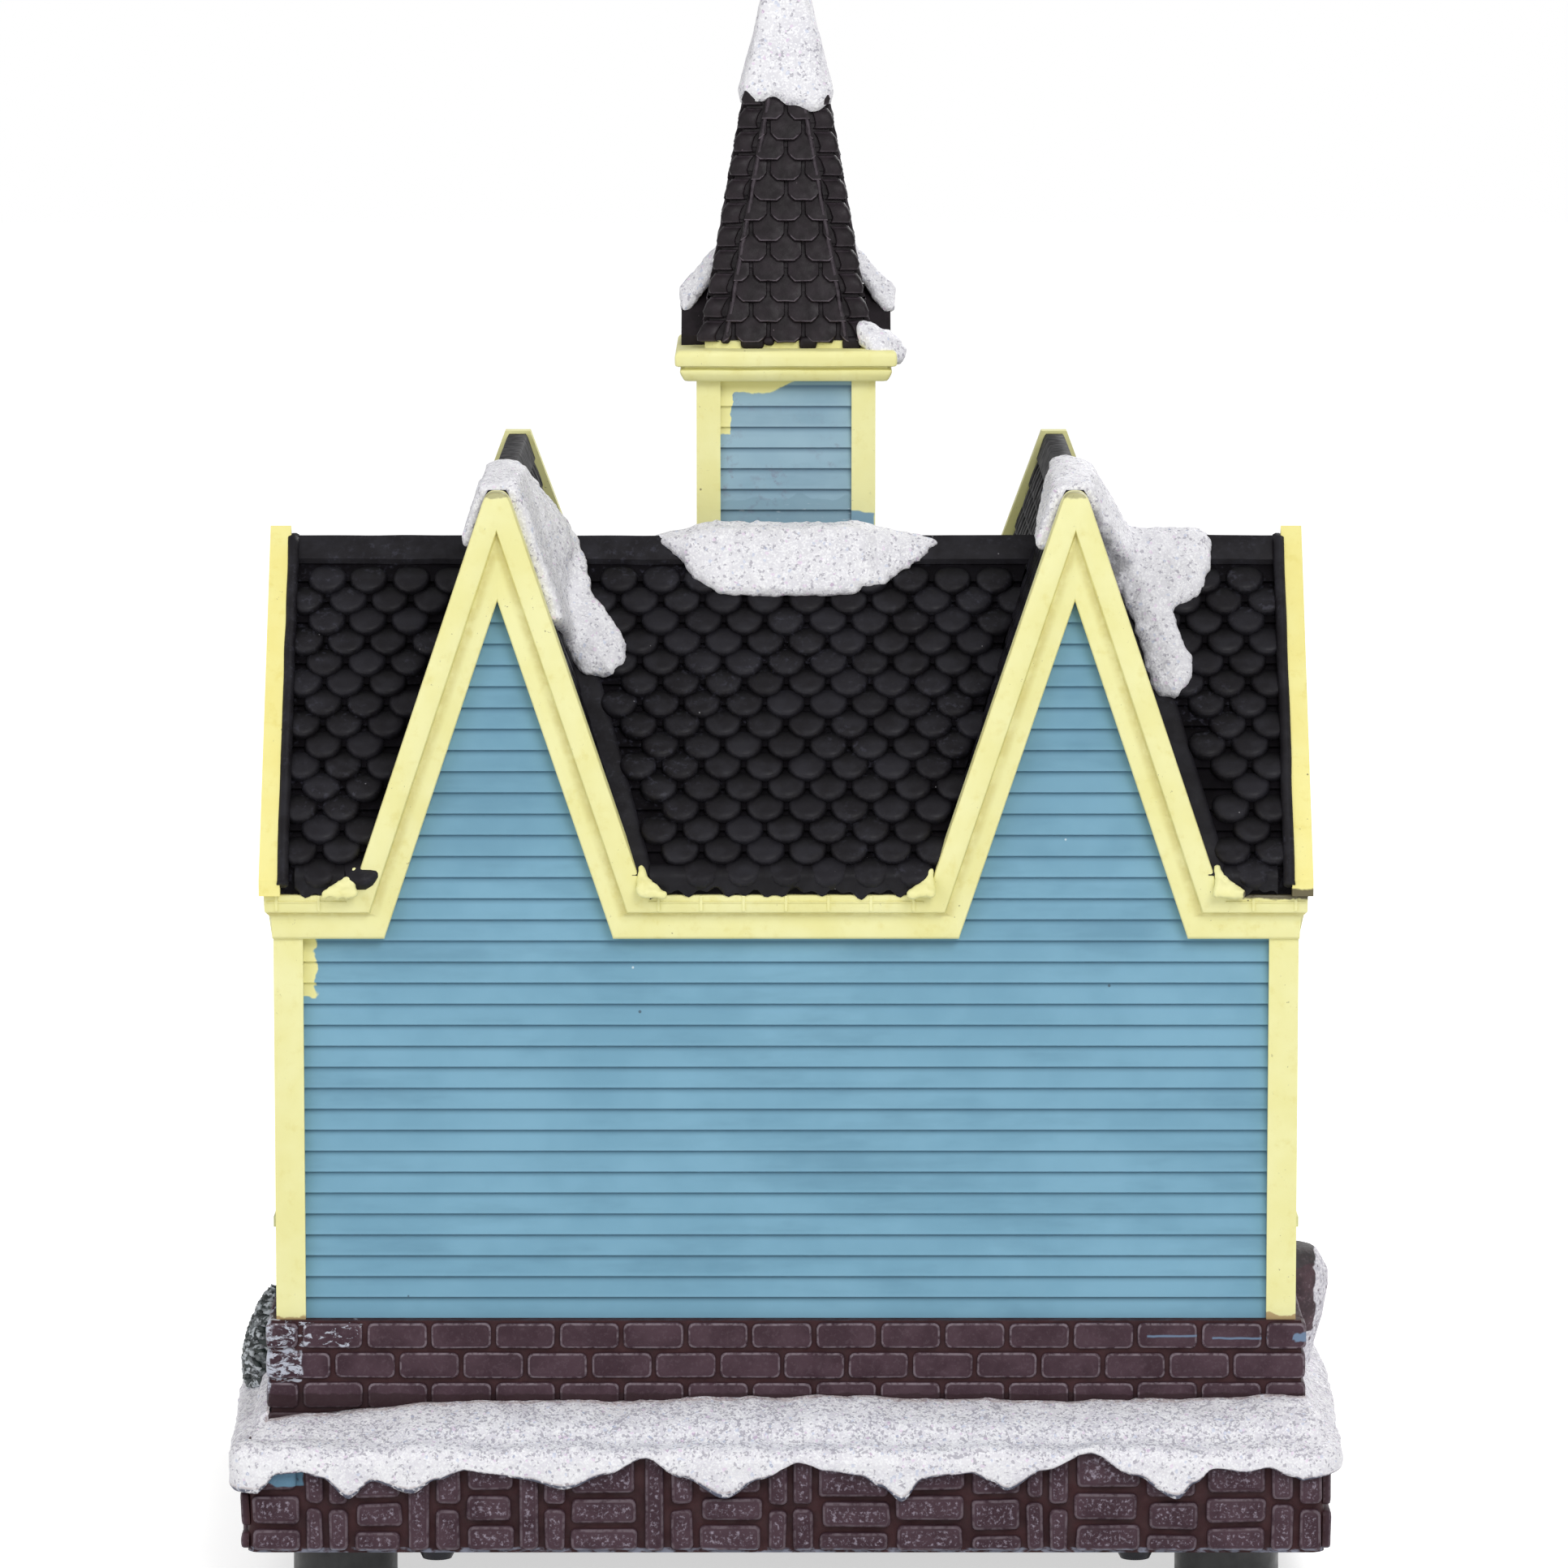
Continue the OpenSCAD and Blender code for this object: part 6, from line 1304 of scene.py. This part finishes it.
def roof_normal(x, y):
    """Direction straight out of the roof there."""
    main = RIDGE_Z - abs(y - RIDGE_Y) * MAIN_SLOPE
    gable = min(PEAK_Z, APEX_Z - abs(abs(x) - GABLE_X) / GABLE_LEAN)
    if gable > main:
        if gable >= PEAK_Z:
            return np.array([0, 0, 1.0])
        side = math.copysign(1, x) * math.copysign(1, abs(x) - GABLE_X)
        n = np.array([side, 0, GABLE_LEAN])
    else:
        n = np.array([0, math.copysign(MAIN_SLOPE, y - RIDGE_Y), 1.0])
    return n / np.linalg.norm(n)


def patch_balls(poly, thick, step=0.75, rise=0.3, least=1.25, over=0.75, taper=None):
    """Balls that fill an outline on the roof, seen from above, with a thick round edge."""
    xs = [p[0] for p in poly]
    ys = [p[1] for p in poly]
    out = []
    for x in np.arange(min(xs), max(xs), step):
        for y in np.arange(min(ys), max(ys), step):
            d = outline_distance(x, y, poly)
            if d > 0.35:
                share = taper(x, y) if taper else 1.0
                r = min(thick, least + rise * max(d - 0.35, 0)) * share
                p = np.array([x, y, roof_level(x, y)]) + roof_normal(x, y) * over * share
                out.append((*p, r))
    return out


mound = [
    (21.0, 17.5), (19.6, 19.4), (15.4, 21.6), (12.6, 23.8), (8.1, 25.2), (1.0, 25.6), (-8.4, 25.2), (-14.9, 24.0),
    (-19.0, 22.2), (-22.4, 20.0), (-22.0, 17.6), (-17.0, 15.0), (-13.5, 11.0), (13.5, 11.0), (17.0, 15.0)]


def mound_taper(x, y):
    """Makes the mound thinner towards its two ends."""
    return 1 - 0.5 * min(1.0, max(0.0, (abs(x - 0.8) - 11.5) / 8.0))


snow_blob("ridge_snow_mound", patch_balls(mound, 2.5, taper=mound_taper), ("ridge_snow",), seed=5)


def slope_balls(centre, side, ys, feet, thick, radius=1.4, step=1.15):
    """Balls over one slope of a gable, side being -1 or 1. feet are the levels of the snow's foot at ys,
    and thick(y, z) is how far it stands out."""
    out = []
    for y in np.arange(ys[0], ys[-1] + 0.01, step):
        z = max(float(np.interp(y, ys, feet)), RIDGE_Z - abs(y - RIDGE_Y) * MAIN_SLOPE + 0.5)
        while z < PEAK_Z + 0.2:
            x = centre + side * gable_half(z)
            stand = max(thick(y, z) - radius, 0.0)
            for k in range(int(stand / 1.2) + 1):
                away = stand * k / max(int(stand / 1.2), 1) if stand >= 1.2 else stand
                out.append((x + side * away, y, z, radius))
            z += step
    return out


def peak_balls(centre, first_y, top):
    """Balls along the top of a gable, up to the rear end. top(y) is their level above the peak."""
    return [(centre + x, y, PEAK_Z + top(y) - 0.14 * x * x, 1.3)
            for y in np.arange(first_y, SNOW_END + 0.01, 1.0) for x in (-1.6, -0.6, 0.5, 1.5)]


def right_thick(y, z):
    """How far the snow stands out from the inner slope of the +X gable, most near the ridge."""
    near = np.clip((31.0 - y) / 7.0, 0, 1) * np.clip((z - 138) / 9, 0.1, 1)
    return 1.9 + min(0.42 * (PEAK_Z - z), 3.4) * float(near)


def left_thick(y, z):
    """The same for the outer slope of the -X gable."""
    return 2.4 + 0.25 * (PEAK_Z - z) * float(np.clip((30.0 - y) / 8.0, 0, 1))


SNOW_END = 47.4
right_lobe = [
    (36.8, 18.0), (32.6, 18.4), (30.4, 19.6), (29.4, 22.4), (28.5, 25.3), (25.4, 27.6), (23.5, 29.8), (23.7, 31.6),
    (25.8, 33.0), (29.2, 32.8), (31.6, 30.6), (33.0, 26.0), (35.0, 22.0)]
right_balls = patch_balls(right_lobe, 2.0)
right_balls += slope_balls(
    GABLE_X, -1, (18.6, 24, 30, 36, SNOW_END), (146.5, 141, 134.5, 137.5, 140), right_thick)
right_balls += slope_balls(GABLE_X, 1, (36, 42, SNOW_END), (157.5, 153, 150.2), lambda y, z: 1.5, 1.2)
right_balls += peak_balls(GABLE_X, 20.0, lambda y: 0.3 + 0.5 * math.sin(0.11 * y))
snow_blob("right_gable_snow_lump", right_balls, ("right_gable_snow",), seed=8)

left_lobe = [
    (-45.4, 17.9), (-54.6, 17.9), (-60.3, 18.1), (-61.2, 20.3), (-60.8, 23.2), (-59.0, 25.4), (-55.4, 26.7),
    (-56.4, 29.2), (-58.3, 31.8), (-57.6, 34.4), (-55.4, 35.3), (-53.2, 34.2), (-51.4, 29.4), (-49.0, 25.5),
    (-46.4, 21.5)]
left_balls = patch_balls(left_lobe, 2.0)
left_balls += slope_balls(-GABLE_X, -1, (17, 22, 33), (146.5, 143, 152), left_thick)
left_balls += slope_balls(-GABLE_X, -1, (33, SNOW_END), (152, 156), lambda y, z: 1.5, 1.2)
left_balls += slope_balls(-GABLE_X, 1, (24, 36, SNOW_END), (155.5, 152, 150.4), lambda y, z: 1.7, 1.3)
left_balls += peak_balls(-GABLE_X, 18.0, lambda y: 0.4 + 0.6 * math.sin(0.09 * y + 0.3))
snow_blob("left_gable_snow_lump", left_balls, ("left_gable_snow",), seed=9)

# Cap of the spire: a rounded square cone with an uneven lower edge
rings = []
SQUARE = 5.0
for t in (j / 45 for j in range(46)):
    ring = []
    for a in np.linspace(0, 2 * math.pi, 121)[:-1]:
        ca, sa = math.cos(a), math.sin(a)
        unit = (abs(ca) ** SQUARE + abs(sa) ** SQUARE) ** (-1 / SQUARE)
        foot = 210.5 + 0.7 * math.sin(2 * a + 0.2) + 0.4 * math.sin(5 * a + 1.0) + 0.3 * math.sin(11 * a)
        z = foot + (SPIRE_TOP_Z + 1.0 - foot) * max(t - 0.06, 0) / 0.94
        thick = 1.75 - 1.1 * min(1.0, t / 0.42)
        if t < 0.05:
            thick = -0.4
        elif t < 0.09:
            thick = 0.85
            z = foot + 0.15
        half = max(spire_half(z), 0.0) + thick
        if t > 0.97:
            half *= 0.55
        ring.append((unit * half * ca, TOWER_Y + unit * half * sa, z))
    rings.append(np.array(ring))
verts, faces = loft(rings)
push = verts - np.array([0, TOWER_Y, 0])
push[:, 2] = 0
push /= np.maximum(np.linalg.norm(push, axis=1), 1e-6)[:, None]
verts = verts + push * (0.35 * fbm(verts, 4.0, 21) + 0.14 * noise3(verts, 0.9, 22))[:, None]
make("spire_snow_cap", verts, faces, ROOF_SNOW, "snow", replaces=("spire_snow",), smooth=180)

# Snow on the small gables and on the cornice
lumps = []
for ax, ay, reach in ((1, 0, 15.2), (0, -1, 14.6), (-1, 0, 15.6)):
    bx, by = -ay, ax
    for k in range(14):
        t = k / 13
        along = 9.2 + (reach - 9.7) * t
        top = 189.6 - 6.6 * t ** 0.9
        for s in np.linspace(-1, 1, 9):
            across = s * (1.0 + 1.5 * t)
            z = top - abs(s) * (1.0 + 1.5 * t) * 0.95 - 0.3
            r = 1.25 - 0.25 * abs(s)
            lumps.append((ax * along + bx * across, TOWER_Y + ay * along + by * across, z, r))
lumps += [
    (-12.4, 9.6, 176.6, 1.9), (-13.8, 9.8, 175.9, 2.1), (-15.0, 9.6, 175.1, 1.9), (-14.6, 10.9, 174.3, 1.6),
    (-13.4, 11.0, 175.1, 1.7), (-15.4, 8.4, 175.3, 1.8), (-14.4, 7.4, 176.1, 1.8), (-11.6, 8.9, 177.6, 1.5),
    (-16.2, 10.0, 174.0, 1.4), (-15.4, 11.8, 173.8, 1.2), (-12.4, 7.6, 177.3, 1.6), (-16.6, 9.0, 174.6, 1.2)]
snow_blob("tower_snow_lumps", lumps, ("cornice_snow",), seed=14, voxel=0.4, lump=0.22)

# Yellow paint that fills the corners between the eaves and the gables
EAVE_PAINT = ((65.4, 61.6, 104.4), (20.6, 17.4, 104.8), (-17.8, -20.6, 104.4), (-61.4, -64.8, 104.8))
for k, (x0, x1, top) in enumerate(EAVE_PAINT):
    balls = []
    lump_rnd = random.Random(90 + k)
    inner = x1 if k % 2 == 0 else x0
    width = x0 + x1 - 2 * inner
    for u in np.linspace(0, 1, 8):
        z = 100.9 + (top - 101.5) * u
        reach = width * (1 - u) ** 1.6
        for t in np.linspace(0, 1, 6):
            x, y = inner + reach * t + lump_rnd.uniform(-0.15, 0.15), roof_edge_y(z) + 0.2 + lump_rnd.uniform(0, 0.2)
            balls.append((x, y, z + lump_rnd.uniform(-0.15, 0.15), 0.72 - 0.2 * u))
    snow_blob("eave_paint_%d" % (k + 1), balls, voxel=0.25, seed=95 + k, lump=0.06, material=TRIM, slot="trim")


# ---------------------------------------------------------------- bush and boulder
def half_round(name, profile, steps=40, levels=34):
    """A lump that leans with a flat back on the plinth. profile is its width at shares of its height.
    Gives its vertices, faces, the foot of its back, its side of the house, its reach, half width and top."""
    lo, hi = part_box(name)
    sign = 1 if lo.x > 0 else -1
    back = (lo.x if sign > 0 else hi.x) / MM
    middle = (lo.y + hi.y) / 2 / MM
    reach, half = (hi.x - lo.x) / MM, (hi.y - lo.y) / 2 / MM
    z0, z1 = DECK_Z + 1.8, hi.z / MM
    at, share = zip(*profile)
    rings = []
    for t in np.linspace(0, 1, levels):
        r = float(np.interp(t, at, share))
        ring = [(back + sign * 0.03, middle - half * r)]
        for a in np.linspace(-math.pi / 2, math.pi / 2, steps):
            ring.append((back + sign * (0.05 + (reach - 0.05) * r * math.cos(a)), middle + half * r * math.sin(a)))
        ring.append((back + sign * 0.03, middle + half * r))
        rings.append(at_level(ring, z0 + (z1 - z0) * t))
    verts, faces = loft(rings)
    return verts, faces, np.array([back, middle, z0]), sign, reach, half, z1


def keep_inside(verts, base, sign, reach):
    """Holds a lump clear of the plinth and inside its node's reach."""
    verts[:, 0] = base[0] + sign * np.clip(sign * (verts[:, 0] - base[0]), 0.03, reach + 0.1)
    return verts


leaves = Parts()
leaf_rnd = random.Random(5)
BUSH = [(0.0, 0.75), (0.12, 0.88), (0.3, 0.92), (0.5, 0.84), (0.7, 0.66), (0.86, 0.46), (0.96, 0.28), (1.0, 0.1)]
verts, faces, base, sign, reach, half, top = half_round("right_bush", BUSH)
verts[:, 1] += 0.35 * noise3(verts, 2.2, 61)
verts[:, 2] += 0.3 * noise3(verts, 2.2, 62)
leaves.add(keep_inside(verts, base, sign, reach), faces, 0.0, 0.5)
at, share = zip(*BUSH)
# A leaf: six points round it, its raised middle and the middle of its back
LEAF = ((-1.3, 0, -0.2), (-0.4, 0.55, 0.05), (0.6, 0.5, 0.15), (1.5, 0, 0.1), (0.6, -0.5, 0.15), (-0.4, -0.55, 0.05),
        (0.1, 0, 0.45), (0.1, 0, -0.6))
LEAF_EDGE = np.array([1.0] * 7 + [0.0])
LEAF_FACES = [(i, (i + 1) % 6, 6) for i in range(6)] + [((i + 1) % 6, i, 7) for i in range(6)]
for _ in range(360):
    t = leaf_rnd.random() ** 1.15
    a = leaf_rnd.uniform(-1.5, 1.5)
    r = float(np.interp(t, at, share))
    place = base + [sign * reach * r * math.cos(a), half * r * math.sin(a), (top - base[2]) * t]
    n = np.array([sign * math.cos(a), math.sin(a), -0.2 + 1.1 * t])
    n /= np.linalg.norm(n)
    side = np.cross(n, [0, 0, 1.0])
    side /= max(np.linalg.norm(side), 1e-6)
    up = np.cross(side, n)
    tilt = leaf_rnd.uniform(-0.7, 0.7)
    u = side * math.cos(tilt) + up * math.sin(tilt)
    v = np.cross(n, u)
    size = leaf_rnd.uniform(0.7, 1.0)
    pts = np.array([place + n * (pw * size - 0.05) + u * pu * size + v * pv * size for pu, pv, pw in LEAF])
    edge = LEAF_EDGE * leaf_rnd.uniform(0.3, 1.0)
    leaves.add(keep_inside(pts, base, sign, reach), LEAF_FACES, edge, leaf_rnd.random())
leaves.make("bush_leaves", WREATH, "bush", replaces=("right_bush",), smooth=180)

ROCK_SHAPE = [(0.0, 0.5), (0.2, 0.62), (0.45, 0.84), (0.68, 0.98), (0.8, 0.97), (0.9, 0.8), (0.97, 0.66), (1.0, 0.35)]
verts, faces, base, sign, reach, half, top = half_round("left_boulder", ROCK_SHAPE, 56, 48)
facet = np.round(fbm(verts + 40, 5.0, 71) * 4) / 4
grow = 1 + 0.10 * facet + 0.06 * fbm(verts, 2.2, 72)
verts[:, 0] = base[0] + (verts[:, 0] - base[0]) * np.clip(grow, 0.8, 1.0)
verts[:, 1] = base[1] + (verts[:, 1] - base[1]) * np.clip(grow, 0.8, 1.02)
verts[:, 2] += 0.3 * noise3(verts, 3.0, 73) * (verts[:, 2] > base[2] + 1)
verts = keep_inside(verts, base, sign, reach)
make("boulder_rock", verts, faces, ROCK, "boulder", replaces=("left_boulder",), smooth=28)

# ---------------------------------------------------------------- floor, light, camera
FLOOR_HALF = 3.0
floor_mesh = bpy.data.meshes.new("floor")
corners = [(-FLOOR_HALF, -FLOOR_HALF, 0), (FLOOR_HALF, -FLOOR_HALF, 0), (FLOOR_HALF, FLOOR_HALF, 0),
           (-FLOOR_HALF, FLOOR_HALF, 0)]
floor_mesh.from_pydata(corners, [], [(0, 1, 2, 3)])
floor = bpy.data.objects.new("floor", floor_mesh)
bpy.context.scene.collection.objects.link(floor)
# The floor is white to the eye and in reflections, but lights the house only as plain pale ground
m = Mat("floor_paint", 0.9, Base_Color=(0.8, 0.8, 0.8, 1))
ray = m.node("LightPath").outputs
seen = m.either(ray["Is Camera Ray"], ray["Is Glossy Ray"], ray["Is Transmission Ray"])
glow = m.node("Emission", {"Strength": m.mul(seen, 0.6)})
both = m.node("AddShader", {0: m.shader.outputs[0], 1: glow.outputs[0]})
m.link(both.outputs[0], m.tree.nodes["Material Output"].inputs["Surface"])
floor_mesh.materials.append(m.mat)

world = bpy.data.worlds.new("studio")
bpy.context.scene.world = world
world.use_nodes = True
wt = world.node_tree
back = wt.nodes["Background"]
back.inputs["Color"].default_value = (1, 1, 1, 1)
# white behind the house, a little darker as light on it
wl = wt.nodes.new("ShaderNodeLightPath")
strength = wt.nodes.new("ShaderNodeMapRange")
strength.inputs["To Min"].default_value = 0.56
strength.inputs["To Max"].default_value = 1.0
wt.links.new(wl.outputs["Is Camera Ray"], strength.inputs["Value"])
wt.links.new(strength.outputs[0], back.inputs["Strength"])


def area(name, place, size, power, target=(0, 0, 0.1)):
    """A soft square light that faces the house."""
    light = bpy.data.lights.new(name, "AREA")
    light.size = size
    light.energy = power
    obj = bpy.data.objects.new(name, light)
    obj.location = place
    obj.rotation_euler = (Vector(target) - Vector(place)).to_track_quat("-Z", "Y").to_euler()
    bpy.context.scene.collection.objects.link(obj)


area("key", (-0.35, 0.95, 0.85), 0.55, 6.0)
area("fill", (0.8, 0.7, 0.5), 0.7, 2.6)
area("front_fill", (-0.5, -0.9, 0.7), 0.7, 5.0)

# The photo's camera: behind the house, a little above it
CAMERA_PLACE, CAMERA_ABOVE, CAMERA_LENS = (0.00029, 1.18827, 0.26902), 7.6489, 185.2286
camera = bpy.data.cameras.new("camera")
camera.sensor_width = 36
camera.lens = CAMERA_LENS
camera.clip_start = 0.01
camera.clip_end = 20
cam = bpy.data.objects.new("camera", camera)
cam.location = CAMERA_PLACE
cam.rotation_euler = (math.radians(90 - CAMERA_ABOVE), 0, math.pi)
bpy.context.scene.collection.objects.link(cam)
bpy.context.scene.camera = cam
bpy.context.scene.view_settings.view_transform = "Standard"
